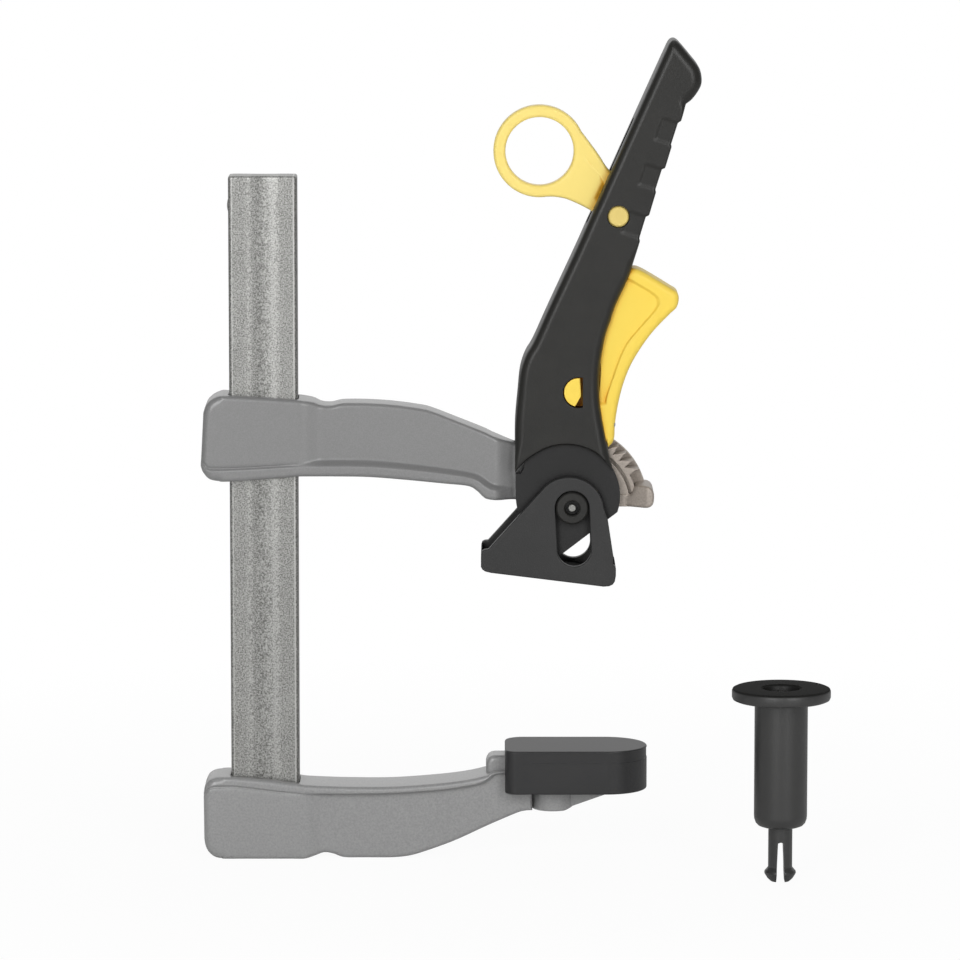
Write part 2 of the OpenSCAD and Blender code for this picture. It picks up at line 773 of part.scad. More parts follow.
module ring_slot() {
    polygon(sized(ring_slot_shares, lever_l, lever_l));
}

// Trigger outline in shares of the lever's length, from its top round the finger plate
trigger_front_shares = [[0.106, 0.512], [0.126, 0.5165], [0.14, 0.5155], [0.174, 0.497],
    [0.2085, 0.473], [0.223, 0.462], [0.2275, 0.448], [0.223, 0.427], [0.2085, 0.413],
    [0.175, 0.378], [0.149, 0.344], [0.126, 0.304], [0.109, 0.261], [0.098, 0.2165],
    [0.092, 0.177], [0.0905, 0.15], [0.086, 0.135], [0.078, 0.127]];
trigger_back_shares = [[0.0702, 0.138], [0.062, 0.168], [0.03, 0.19], [-0.01, 0.2], [-0.03, 0.22],
    [-0.03, 0.265], [0, 0.32], [0.045, 0.4], [0.075, 0.45]];
// The side plates are recessed inside a rim that runs along the top and the front
rim_in_shares = [[0.09, 0.511], [0.1185, 0.493], [0.134, 0.483], [0.171, 0.457], [0.183, 0.4426],
    [0.18, 0.428], [0.1485, 0.3906], [0.12, 0.356], [0.103, 0.325], [0.0885, 0.2846],
    [0.0745, 0.246], [0.0715, 0.228], [0.0485, 0.224], [0.0485, 0.511]];
rim_d = trigger_w * 0.06;

module trigger_outline() {
    polygon(concat(
        curve(sized(trigger_front_shares, lever_l, lever_l), 3),
        curve(sized(trigger_back_shares, lever_l, lever_l), 3)));
}

// The finger plate and the fork are wide, the rest passes between the cam plates
module trigger_wide() {
    polygon(sized([[0.058, 0.12], [0.3, 0.12], [0.3, 0.55], [0.05, 0.55], [0.05, 0.33],
        [0.062, 0.31], [0.062, 0.26], [0.056, 0.22]], lever_l, lever_l));
}

module release_trigger() {
    color("#F6CE3C")
        at_pivot()
            difference() {
                union() {
                    plate(-trigger_core / 2, trigger_core / 2)
                        trigger_outline();
                    plate(-trigger_w / 2, trigger_w / 2)
                        intersection() {
                            trigger_outline();
                            trigger_wide();
                        }
                    trunnion();
                }
                // The pawl's place in the fork
                plate(-cam_y, cam_y)
                    translate([-lever_l, 0])
                        square([lever_l * 2, pawl_top + near]);
                at_pawl_pin(pawl_pin_d / 2 + run_gap / 2, trigger_w);
                // Seat of the spring in the trigger's back
                spring_place(spring_d / 2 + near, near);
                for (side = [-1, 1])
                    plate(side * trigger_w / 2 - rim_d, side * trigger_w / 2 + rim_d)
                        polygon(curve(sized(rim_in_shares, lever_l, lever_l), 2));
            }
}

module trunnion() {
    reach_y = handle_t / 2 - side_gap;
    plate(-reach_y, reach_y)
        translate(trunnion_c)
            intersection() {
                circle(r = trunnion_r);
                translate([-trunnion_r * 2, 0])
                    square([trunnion_r * 2.15, trunnion_r]);
            }
    plate(-reach_y, reach_y)
        translate(trunnion_c)
            intersection() {
                circle(r = trunnion_r);
                rotate(-17)
                    translate([-trunnion_r * 2, -trunnion_r])
                        square([trunnion_r * 2.15, trunnion_r * 1.3]);
            }
}

pawl_pin_c = polar(64, tip_r + tooth_h * 1.42);
pawl_top = (tip_r + tooth_h * 1.84) * sin(70);

module at_pawl_pin(r, w) {
    pin(pawl_pin_c, r, -w / 2, w / 2);
}

// Pawl: the tooth on the trigger's fork, its steep face to the right
pawl_tip = polar(first_tooth + tooth_step * 4.05, tip_r + near);

module pawl() {
    tooth_back = hub_t / 2 - back_wall_t - side_gap;
    color("#7D7D7A")
        at_pivot()
            difference() {
                union() {
                    plate(-trigger_core / 2, tooth_back)
                        polygon([pawl_tip, polar(68.5, tip_r + near * 4),
                            polar(72, tip_r + tooth_h * 1.29), polar(70, tip_r + tooth_h * 1.84),
                            polar(62, tip_r + tooth_h * 1.93), polar(59.6, tip_r + tooth_h * 0.84)]);
                }
                at_pawl_pin(pawl_pin_d / 2 + run_gap / 2, trigger_w);
            }
}

module pawl_pin() {
    color("#A0A09C")
        at_pivot()
            at_pawl_pin(pawl_pin_d / 2, trigger_w - near);
}

// Spring between the handle's spine and the trigger's back, along X
spring_z = lever_l * 0.436;
spring_from = -lever_l * 0.02634;
spring_to = lever_l * 0.0834;
coils = 6;

module spring_place(r, gap) {
    translate([spring_from - gap, 0, spring_z])
        rotate([0, 90, 0])
            cylinder(r = r, h = spring_to - spring_from + gap * 2);
}

module trigger_spring() {
    r = (spring_d - spring_wire) / 2;
    n = 10;
    total = coils * n;
    length = spring_to - spring_from - spring_wire;
    function ring(i) = [for (k = [0:5]) let (a = 360 * i / n, w = r + spring_wire / 2 * cos(60 * k))
        [spring_wire / 2 + length * i / total + spring_wire / 2 * sin(60 * k), w * cos(a), w * sin(a)]];
    points = [for (i = [0:total]) each ring(i)];
    color("#9A9A96")
        at_pivot()
            translate([spring_from, 0, spring_z])
                polyhedron(points, concat(
                    [[5, 4, 3, 2, 1, 0]],
                    [for (i = [0:total - 1]) for (k = [0:5]) each [
                        [i * 6 + k, i * 6 + (k + 1) % 6, (i + 1) * 6 + k],
                        [i * 6 + (k + 1) % 6, (i + 1) * 6 + (k + 1) % 6, (i + 1) * 6 + k]]],
                    [[for (k = [0:5]) total * 6 + k]]));
}

// Ring with its neck, drawn from its pivot pin
ring_c = [-0.16752 * lever_l, 0.13533 * lever_l];
neck_shares = [[-0.43, 0.79], [-0.325, 0.7], [-0.24, 0.59], [-0.155, 0.46], [-0.08, 0.34],
    [0, 0.3], [0.06, 0.2], [0.115, 0.09], [0.12, -0.02], [0.06, -0.105], [-0.02, -0.12],
    [-0.1, -0.065], [-0.2, 0.02], [-0.27, 0.06], [-0.345, 0.085], [-0.43, 0.11], [-0.53, 0.145],
    [-0.62, 0.14]];
ring_arm = lever_l * 0.26555;
// Shallow pocket beside the neck's upper rib, where the neck goes into the handle
pocket_shares = [[-0.275, 0.498], [-0.275, 0.446], [-0.157, 0.317], [-0.146, 0.256],
    [-0.204, 0.1295], [-0.1625, 0.088], [-0.077, 0.168], [-0.063, 0.231], [-0.121, 0.3]];
pocket_d = ring_t * 0.18;

module finger_ring() {
    color("#F7D24A")
        at_pivot()
            difference() {
                union() {
                    plate(-ring_t / 2, ring_t / 2)
                        translate(ring_pin_c + ring_c)
                            circle(r = ring_r);
                    plate(-ring_t / 2, ring_t / 2)
                        translate(ring_pin_c)
                            polygon(concat(
                                curve(sized(neck_shares, ring_arm, ring_arm), 3),
                                [ring_c]));
                }
                plate(-ring_t, ring_t)
                    translate(ring_pin_c + ring_c)
                        circle(r = ring_hole_r);
                pin(ring_pin_c, ring_pin_r + run_gap, -ring_t, ring_t);
                for (side = [-1, 1])
                    plate(side * ring_t / 2 - pocket_d, side * ring_t / 2 + pocket_d)
                        translate(ring_pin_c)
                            polygon(sized(pocket_shares, ring_arm, ring_arm));
            }
}

module ring_pin() {
    color("#F7D24A")
        at_pivot()
            pin(ring_pin_c, ring_pin_r, -handle_t / 2 + near, handle_t / 2 - near);
}

// Peg, standing on its barbs: head with a socket, sleeve, neck and split barbs
module peg() {
    sleeve_low = barb_l + neck_l;
    head_low = sleeve_low + peg_l;
    edge = peg_head_t * 0.28;
    collar_d = peg_d * 0.5 + peg_head_d * 0.12;
    socket_d = neck_d * 1.6;
    color("#262626")
        translate([peg_x, peg_y, 0])
            difference() {
                rotate_extrude($fn = 96)
                    polygon([[0, 0], [neck_d * 0.36, 0], [barb_d / 2, barb_l * 0.6],
                        [barb_d / 2, barb_l * 0.8], [neck_d / 2, barb_l * 1.05],
                        [neck_d / 2, sleeve_low], [peg_d * 0.36, sleeve_low],
                        [peg_d * 0.46, sleeve_low + edge * 0.8],
                        [peg_d / 2, sleeve_low + edge * 2.4],
                        [peg_d / 2, head_low - edge * 2], [collar_d, head_low - edge],
                        [collar_d, head_low], [peg_head_d / 2 - edge, head_low],
                        [peg_head_d / 2, head_low + edge],
                        [peg_head_d / 2, head_low + peg_head_t - edge],
                        [peg_head_d / 2 - edge, head_low + peg_head_t],
                        [0, head_low + peg_head_t]]);
                difference() {
                    translate([0, 0, sleeve_low + peg_l * 0.1])
                        cylinder(d = socket_d, h = peg_l + peg_head_t);
                    for (a = [90, 210, 330])
                        rotate([0, 0, a])
                            translate([0, -slit_w * 0.4, sleeve_low])
                                cube([socket_d, slit_w * 0.8, peg_l + peg_head_t - slit_w]);
                }
                translate([-slit_w / 2, -barb_d, -over])
                    cube([slit_w, barb_d * 2, barb_l + neck_l * 0.75 + over]);
                translate([-slit_w * 0.8, -barb_d, -over])
                    cube([slit_w * 1.6, barb_d * 2, barb_l * 0.75 + over]);
            }
}

bar();
bar_stop_pin();
fixed_jaw();
jaw_pad();
sliding_arm();
pivot_pin();
foot_bush_front();
foot_bush_back();
pressure_foot();
cam_plate_front();
cam_plate_back();
handle_shell();
release_trigger();
pawl();
pawl_pin();
trigger_spring();
finger_ring();
ring_pin();
peg();
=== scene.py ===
import json
import math

import bmesh
import bpy
import numpy as np
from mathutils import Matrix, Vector
from mathutils.geometry import tessellate_polygon


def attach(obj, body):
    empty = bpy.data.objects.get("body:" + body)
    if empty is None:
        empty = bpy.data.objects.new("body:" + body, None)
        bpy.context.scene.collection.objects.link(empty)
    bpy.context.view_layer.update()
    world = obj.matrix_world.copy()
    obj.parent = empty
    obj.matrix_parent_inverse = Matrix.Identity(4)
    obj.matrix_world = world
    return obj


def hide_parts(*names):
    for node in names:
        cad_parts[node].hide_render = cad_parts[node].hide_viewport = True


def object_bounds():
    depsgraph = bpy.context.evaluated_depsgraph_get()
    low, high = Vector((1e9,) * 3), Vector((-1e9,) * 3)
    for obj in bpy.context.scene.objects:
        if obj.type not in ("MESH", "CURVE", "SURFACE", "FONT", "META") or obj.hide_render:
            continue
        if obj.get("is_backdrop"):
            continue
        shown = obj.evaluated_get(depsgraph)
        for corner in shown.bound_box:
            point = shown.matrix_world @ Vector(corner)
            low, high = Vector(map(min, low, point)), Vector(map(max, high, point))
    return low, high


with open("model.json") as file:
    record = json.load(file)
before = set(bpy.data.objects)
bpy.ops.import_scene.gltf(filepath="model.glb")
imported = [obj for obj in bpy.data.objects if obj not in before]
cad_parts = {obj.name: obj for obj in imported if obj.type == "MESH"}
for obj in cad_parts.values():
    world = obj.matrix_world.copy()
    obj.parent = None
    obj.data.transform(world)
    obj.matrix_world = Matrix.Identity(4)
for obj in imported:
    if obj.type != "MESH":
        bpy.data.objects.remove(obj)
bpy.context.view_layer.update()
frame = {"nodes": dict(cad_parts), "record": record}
mm = 0.001
print("frame loaded:", len(frame["nodes"]), "nodes")

# camera and light
camera = {
    "target": (63.44, 0.0, 112.05),   # what the middle of the photograph looks at, mm
    "distance": 1676.4,
    "pitch": 8.0,                     # degrees down
    "lens": 213.75,
}
pitch = math.radians(camera["pitch"])
camData = bpy.data.cameras.new("camera")
camData.lens = camera["lens"]
camData.sensor_width = 36
camData.clip_start, camData.clip_end = 0.1, 20
cam = bpy.data.objects.new("camera", camData)
cam.location = (camera["target"][0] * mm,
    -camera["distance"] * math.cos(pitch) * mm,
    (camera["target"][2] + camera["distance"] * math.sin(pitch)) * mm)
cam.rotation_euler = (math.pi / 2 - pitch, 0, 0)
bpy.context.collection.objects.link(cam)
bpy.context.scene.camera = cam
bpy.context.scene.view_settings.view_transform = "Standard"

# area lamps that look at the clamp's middle: name, place and size in metres, power in watts
middle = (0.065, 0.0, 0.11)
for name, place, size, power in (("lampLeft", (-0.36, -1.18, 0.54), (0.40, 0.8), 6.2),
        ("lampRight", (0.64, -1.08, 0.52), (0.42, 0.8), 5.0),
        ("lampTop", (0.06, 0.15, 1.15), (0.9, 0.6), 0.5),
        ("lampBack", (0.1, 1.0, 0.7), (1.2, 0.7), 0.5)):
    data = bpy.data.lights.new(name, "AREA")
    data.shape = "RECTANGLE"
    data.size, data.size_y = size
    data.energy = power
    lamp = bpy.data.objects.new(name, data)
    lamp.location = place
    lamp.rotation_euler = (Vector(middle) - Vector(place)).to_track_quat("-Z", "Y").to_euler()
    bpy.context.collection.objects.link(lamp)


# numbers and meshes


def throughPoints(points):
    # a smooth line through every point, in six steps: on each span a cubic whose slope at a point is half
    # the step between that point's two neighbours
    p, perSpan = np.asarray(points, float), 6
    a, b, c = np.vstack([p[:1], p[:-2]]), p[:-1], p[1:]
    d = np.vstack([p[2:], p[-1:]])
    t = (np.arange(perSpan) / perSpan)[None, :, None]
    a, b, c, d = (q[:, None, :] for q in (a, b, c, d))
    line = b + t * (c - a) / 2 + t ** 2 * (2 * a - 5 * b + 4 * c - d) / 2 \
        + t ** 3 * (3 * b - a - 3 * c + d) / 2
    return np.vstack([line.reshape(-1, p.shape[1]), p[-1:]])


def evenSteps(line, count):
    # count points along the line, at even lengths
    line = np.asarray(line, float)
    run = np.r_[0, np.cumsum(np.linalg.norm(np.diff(line, axis=0), axis=1))]
    at = np.linspace(0, 1, count) * run[-1]
    return np.stack([np.interp(at, run, line[:, k]) for k in range(line.shape[1])], 1)


def smoothStep(x, start=0, way=1):
    # 0 below start, 1 from start + way on, and 3x^2 - 2x^3 in between, x being the share of the way
    x = np.clip((x - start) / way, 0, 1)
    return x * x * (3 - 2 * x)


def wayTo(points, line, closed=False):
    # shortest way from each point to a line: the point is dropped on every stretch and the least is kept
    start = line if closed else line[:-1]
    along = (np.roll(line, -1, 0) if closed else line[1:]) - start
    flat = points.reshape(-1, 1, 2) - start
    size = np.maximum((along ** 2).sum(-1), 1e-12)
    t = np.clip((flat * along).sum(-1) / size, 0, 1)
    return np.linalg.norm(flat - t[..., None] * along, axis=-1).min(1).reshape(points.shape[:-1])


def roundDrop(depth, radius):
    # how far a rounded edge lies below the flat: radius - sqrt(radius^2 - (radius - depth)^2)
    inside = radius - np.clip(depth, 0, radius)
    return radius - np.sqrt(np.maximum(radius ** 2 - inside ** 2, 0))


def movedIn(loop, way):
    # each point moves along the sum of its two edges' inward normals over 1 + their dot product,
    # which keeps both edges at the same distance
    before, after = loop - np.roll(loop, 1, 0), np.roll(loop, -1, 0) - loop
    normals = [np.stack([-e[:, 1], e[:, 0]], 1) / np.maximum(np.linalg.norm(e, axis=1), 1e-9)[:, None]
        for e in (before, after)]
    dot = (normals[0] * normals[1]).sum(1)
    turn = (normals[0] + normals[1]) / np.maximum(1 + dot, 0.45)[:, None]
    return loop + way * turn


def area(loop):
    # half the sum of the cross products of neighbouring points
    x, y = loop[:, 0], loop[:, 1]
    return 0.5 * np.sum(x * np.roll(y, -1) - np.roll(x, -1) * y)


def circle(centre, radius, count=64, start=0.0, end=2 * math.pi):
    # points at even angles round a centre; a whole circle leaves out the last, which is the first again
    whole = abs(end - start - 2 * math.pi) < 1e-6
    angle = np.linspace(start, end, count, endpoint=not whole)
    return np.stack([centre[0] + radius * np.cos(angle), centre[1] + radius * np.sin(angle)], 1)


def roundedCorners(width, thick, radius):
    # the four quarter rounds of a rectangle about the origin, anticlockwise
    return [circle((sx * (width / 2 - radius), sy * (thick / 2 - radius)), radius, 8,
            k * math.pi / 2, (k + 1) * math.pi / 2)
        for k, (sx, sy) in enumerate(((1, 1), (-1, 1), (-1, -1), (1, -1)))]


def bothEnds(profile):
    # a profile from its low end to the middle, followed by its mirror image
    return profile + [(a, -b) for a, b in profile[::-1]]


axisGap = 0.02     # the radius at which a turned profile begins, mm


def pinEnd(q):
    # the low end of a turned pin's profile, with a chamfered rim
    return [(axisGap, -q["half"]), (q["radius"] - q["edge"], -q["half"]),
        (q["radius"], -q["half"] + q["edge"])]


def ringFaces(rows, count, first=0):
    # the four-sided faces between neighbouring rings of count points each
    i, j = np.arange(rows - 1)[:, None] * count + first, np.arange(count)[None]
    nxt = (j + 1) % count
    return np.stack([i + j, i + nxt, i + count + nxt, i + count + j], -1).reshape(-1, 4).tolist()


def plate(outline, low, high, edge=0.4, holes=(), across="y", steps=4, holeEdge=None):
    # a flat piece: its outline is carried from low to high, moved in near both ends by
    # edge * (1 - sin t) while the depth runs as edge * (1 - cos t), and both ends are filled
    loops = [np.asarray(outline, float)] + [np.asarray(h, float) for h in holes]
    loops = [q if (area(q) > 0) == (k == 0) else q[::-1] for k, q in enumerate(loops)]
    t = np.linspace(0, math.pi / 2, steps + 1)
    inset, depth = 1 - np.sin(t), 1 - np.cos(t)
    verts, faces, count, ends = [], [], 0, []
    for k, loop in enumerate(loops):
        e = edge if k == 0 or holeEdge is None else holeEdge
        rows = [(e * i, low + e * d) for i, d in zip(inset, depth)]
        rows += [(e * i, high - e * d) for i, d in zip(inset[::-1], depth[::-1])]
        n = len(loop)
        rings = [np.c_[movedIn(loop, i), np.full(n, d)] for i, d in rows]
        verts += rings
        faces += ringFaces(len(rings), n, count)
        ends.append((rings[0], rings[-1], count, count + (len(rings) - 1) * n))
        count += n * len(rings)
    fill = tessellate_polygon([[Vector((x, y, 0)) for x, y, _ in e[0]] for e in ends])
    lowEnd, highEnd = (np.concatenate([np.arange(len(e[0])) + e[k] for e in ends]) for k in (2, 3))
    flat = np.vstack([e[0][:, :2] for e in ends])
    for tri in fill:
        a, b, c = (flat[i] for i in tri)
        up = (b[0] - a[0]) * (c[1] - a[1]) - (b[1] - a[1]) * (c[0] - a[0]) > 0
        tri = list(tri) if up else list(tri)[::-1]
        faces.append([int(lowEnd[i]) for i in tri[::-1]])
        faces.append([int(highEnd[i]) for i in tri])
    v = np.vstack(verts)
    if across == "y":
        v = v[:, [0, 2, 1]]
        faces = [f[::-1] for f in faces]
    return v, faces


def turned(profile, centre, across="y", count=64, closed=False):
    # a profile of (radius, height) pairs carried round a straight axis through centre; its ends are
    # filled, or joined to each other if it is closed
    p = np.asarray(profile, float)
    a = np.linspace(0, 2 * math.pi, count, endpoint=False)
    ring = np.stack([np.cos(a), np.sin(a)], 1)
    v = np.concatenate([p[:, None, :1] * ring[None], np.broadcast_to(p[:, None, 1:], (len(p), count, 1))], 2)
    v = v.reshape(-1, 3)
    faces, last = ringFaces(len(p), count), (len(p) - 1) * count
    if closed:
        j = np.arange(count)
        nxt = (j + 1) % count
        faces += np.stack([last + j, last + nxt, nxt, j], -1).tolist()
    else:
        faces += [list(range(count))[::-1], list(range(last, last + count))]
    order = {"z": [0, 1, 2], "y": [0, 2, 1], "x": [2, 0, 1]}[across]
    v = v[:, order] + np.asarray(centre, float)
    if across == "y":
        faces = [f[::-1] for f in faces]
    return v, faces


def bandedGrid(lines, counts):
    # rows of points between neighbouring lines, evenly shared; row numbers keep the band they are in
    rows, place = [], []
    for k, n in enumerate(counts):
        t = np.linspace(0, 1, n, endpoint=False)[:, None, None]
        rows.append(lines[k] * (1 - t) + lines[k + 1] * t)
        place.append(k + t[:, 0, 0])
    rows.append(lines[-1][None])
    place.append([len(counts)])
    return np.concatenate(rows), np.concatenate(place)


def partWay(a, b, reach, most):
    # a line beside a, moved towards b by reach, but by no more than the given share of the way
    size = np.maximum(np.linalg.norm(b - a, axis=1), 1e-6)[:, None]
    return a + (b - a) * np.minimum(most, reach / size)


def edgedGrid(lines, first, last, counts):
    # a banded grid with a narrow band inside the first and the last line, so that its rows follow the
    # rounded edges; each band is given as partWay's reach and most
    return bandedGrid([lines[0], partWay(lines[0], lines[1], *first), *lines[1:-1],
            partWay(lines[-1], lines[-2], *last), lines[-1]], counts)


def drawnToArc(grid, centre, radiusAt, fadeOver):
    # the lines' first points are moved on to an arc round centre, between the angles of the two outermost,
    # and the points after them follow less and less over fadeOver stations; radiusAt gives the arc's
    # radius for the share of the way across
    first, last = grid[0, 0], grid[-1, 0]
    share = (grid[:, 0] - first) @ (last - first) / ((last - first) ** 2).sum()
    start, end = (math.atan2(*(p - centre)[::-1]) for p in (first, last))
    turn = start + (end - start) * share
    arc = np.array(centre) + radiusAt(share)[:, None] * np.stack([np.cos(turn), np.sin(turn)], 1)
    fade = (1 - smoothStep(np.arange(grid.shape[1]), 0, fadeOver))[None, :, None]
    return grid + (arc - grid[:, 0])[:, None] * fade


def twoFaced(grid, outer, inner=None):
    # a shell between two faces over one grid of X and Z: the outer faces stand at -outer and +outer, the
    # inner ones at -inner and +inner, and where inner is 0 or not given the two halves are one solid
    inner = np.zeros_like(outer) if inner is None else inner
    r, c = grid.shape[:2]
    flat = grid.reshape(-1, 2)

    def layer(y):
        return np.stack([flat[:, 0], y.reshape(-1), flat[:, 1]], 1)

    k = np.arange(r * c).reshape(r, c)
    quads = np.stack([k[:-1, :-1], k[:-1, 1:], k[1:, 1:], k[1:, :-1]], -1).reshape(-1, 4)
    rim = np.concatenate([k[0, :], k[1:, -1], k[-1, -2::-1], k[-2:0:-1, 0]])
    hollow = inner.reshape(-1)[quads].max(1) > 0
    n, nxt = r * c, np.roll(rim, -1)
    front = np.concatenate([quads, quads[hollow][:, ::-1] + n, np.stack([rim, rim + n, nxt + n, nxt], 1)])
    v = np.concatenate([layer(-outer), layer(-inner), layer(outer), layer(inner)])
    faces = np.concatenate([front, front[:, ::-1] + 2 * n])
    return v, faces.tolist()


seamWidth = 1e-4   # points closer than this become one, mm


def solidMesh(name, parts):
    # one mesh of (points, faces) pairs given in mm, its seams closed and every face pointing outwards
    verts, faces, base = [], [], 0
    for v, f in parts:
        verts.append(np.asarray(v, float))
        faces += [[int(i) + base for i in q] for q in f]
        base += len(v)
    mesh = bpy.data.meshes.new(name)
    mesh.from_pydata((np.vstack(verts) * mm).tolist(), [], faces)
    work = bmesh.new()
    work.from_mesh(mesh)
    bmesh.ops.remove_doubles(work, verts=work.verts, dist=seamWidth * mm)
    loose = [q for q in work.verts if not q.link_faces]
    bmesh.ops.delete(work, geom=loose, context="VERTS")
    bmesh.ops.recalc_face_normals(work, faces=work.faces)
    work.to_mesh(mesh)
    work.free()
    return mesh


def smoothShaded(mesh):
    # smooth, with sharp edges where two faces meet at more than 35 degrees
    mesh.shade_smooth()
    mesh.set_sharp_from_angle(angle=math.radians(35))


def makePiece(name, parts, material, body, replaces=()):
    # an object of one or more (points, faces) pairs that rides on a body and takes the place of CAD nodes
    mesh = solidMesh(name, [parts] if isinstance(parts, tuple) else parts)
    smoothShaded(mesh)
    piece = bpy.data.objects.new(name, mesh)
    bpy.context.collection.objects.link(piece)
    mesh.materials.append(material)
    even = piece.modifiers.new("evenShade", "WEIGHTED_NORMAL")
    even.keep_sharp = True
    even.weight = 60
    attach(piece, body)
    if replaces:
        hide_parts(*replaces)
    return piece


def cutBy(piece, cutters):
    # takes the cutters' volume out of a piece and applies the result to its mesh
    for cutter in cutters:
        mesh = solidMesh("cutter", [cutter])
        tool = bpy.data.objects.new("cutter", mesh)
        bpy.context.collection.objects.link(tool)
        cut = piece.modifiers.new("cut", "BOOLEAN")
        cut.operation, cut.solver, cut.object = "DIFFERENCE", "EXACT", tool
        bpy.context.view_layer.update()
        graph = bpy.context.evaluated_depsgraph_get()
        done = bpy.data.meshes.new_from_object(piece.evaluated_get(graph))
        piece.modifiers.remove(cut)
        old = piece.data
        piece.data = done
        bpy.data.meshes.remove(old)
        bpy.data.objects.remove(tool)
        bpy.data.meshes.remove(mesh)
    smoothShaded(piece.data)


# materials


def hexColour(text):
    # sRGB hex to linear: the low part is a straight line, the rest the power 2.4
    c = np.array([int(text[i:i + 2], 16) / 255 for i in (1, 3, 5)])
    linear = np.where(c <= 0.04045, c / 12.92, ((c + 0.055) / 1.055) ** 2.4)
    return (*linear.tolist(), 1.0)


def newMaterial(name):
    material = bpy.data.materials.new(name)
    material.use_nodes = True
    tree = material.node_tree
    tree.nodes.clear()
    return material, tree


def addNode(tree, kind, links=(), **settings):
    # adds a node; a setting named after a socket sets that socket, any other one the node's own property;
    # links sets sockets to the output of another node or to a plain value
    node = tree.nodes.new(kind)
    for key, value in settings.items():
        if hasattr(node, key) and key not in node.inputs:
            setattr(node, key, value)
        else:
            node.inputs[key].default_value = value
    for socket, source in dict(links).items():
        if isinstance(source, bpy.types.NodeSocket):
            tree.links.new(source, node.inputs[socket])
        else:
            node.inputs[socket].default_value = source
    return node


def mappedValue(tree, source, low, high, atLow, atHigh):
    # a straight ramp of a value, held at both ends
    return addNode(tree, "ShaderNodeMapRange", {"Value": source, "From Min": low, "From Max": high,
            "To Min": atLow, "To Max": atHigh}).outputs[0]


def finishMaterial(tree, shader, kind="ShaderNodeOutputMaterial"):
    addNode(tree, kind, {"Surface": shader.outputs[0]})


cloudAmount = 0.12   # how far the slow cloud shifts the mix of a metal's two tones


def grainyMetal(name, light, dark, grain, bump, metallic, roughness, cloud=14.0, sharp=0.2, coat=0.0,
        paintedLightBands=()):
    # two tones mixed by a fine grain and a slow cloud, the grain also as a shallow bump, under a clear coat
    # of the given weight; grain and cloud are sizes in mm; each painted light band (middle X, half width,
    # amount) in mm shifts the tone along the piece, as a painted highlight where amount is above 0 and
    # painted shade below 0
    material, tree = newMaterial(name)
    place = addNode(tree, "ShaderNodeTexCoord").outputs["Object"]
    fine = addNode(tree, "ShaderNodeTexNoise", {"Vector": place}, Scale=1 / (grain * mm), Detail=3.0,
        Roughness=0.65)
    slow = addNode(tree, "ShaderNodeTexNoise", {"Vector": place}, Scale=1 / (cloud * mm), Detail=2.0)
    spread = mappedValue(tree, fine.outputs["Fac"], 0.5 - sharp, 0.5 + sharp, 0.0, 1.0)
    shift = addNode(tree, "ShaderNodeMath", {0: slow.outputs["Fac"], 1: cloudAmount * 2, 2: -cloudAmount},
        operation="MULTIPLY_ADD")
    total = addNode(tree, "ShaderNodeMath", {0: spread, 1: shift.outputs[0]}, operation="ADD")
    across = addNode(tree, "ShaderNodeSeparateXYZ", {0: place}).outputs[0]
    # painted light: each band lightens (painted highlight) or darkens (painted shade) the tone near its X
    for middleX, halfWidth, amount in paintedLightBands:
        off = addNode(tree, "ShaderNodeMath", {0: across, 1: middleX * mm}, operation="SUBTRACT")
        off = addNode(tree, "ShaderNodeMath", {0: off.outputs[0]}, operation="ABSOLUTE")
        near = mappedValue(tree, off.outputs[0], 0.4 * halfWidth * mm, halfWidth * mm, amount, 0.0)
        total = addNode(tree, "ShaderNodeMath", {0: total.outputs[0], 1: near}, operation="ADD")
    tone = addNode(tree, "ShaderNodeMix", {"Factor": total.outputs[0], "A": hexColour(dark),
            "B": hexColour(light)}, data_type="RGBA")
    pit = addNode(tree, "ShaderNodeBump", {"Height": fine.outputs["Fac"]}, Strength=bump,
        Distance=grain * mm * 0.5)
    shader = addNode(tree, "ShaderNodeBsdfPrincipled",
        {"Base Color": tone.outputs[2], "Normal": pit.outputs[0]},
        Metallic=metallic, Roughness=roughness, **{"Coat Weight": coat, "Coat Roughness": 0.27})
    finishMaterial(tree, shader)
    return material


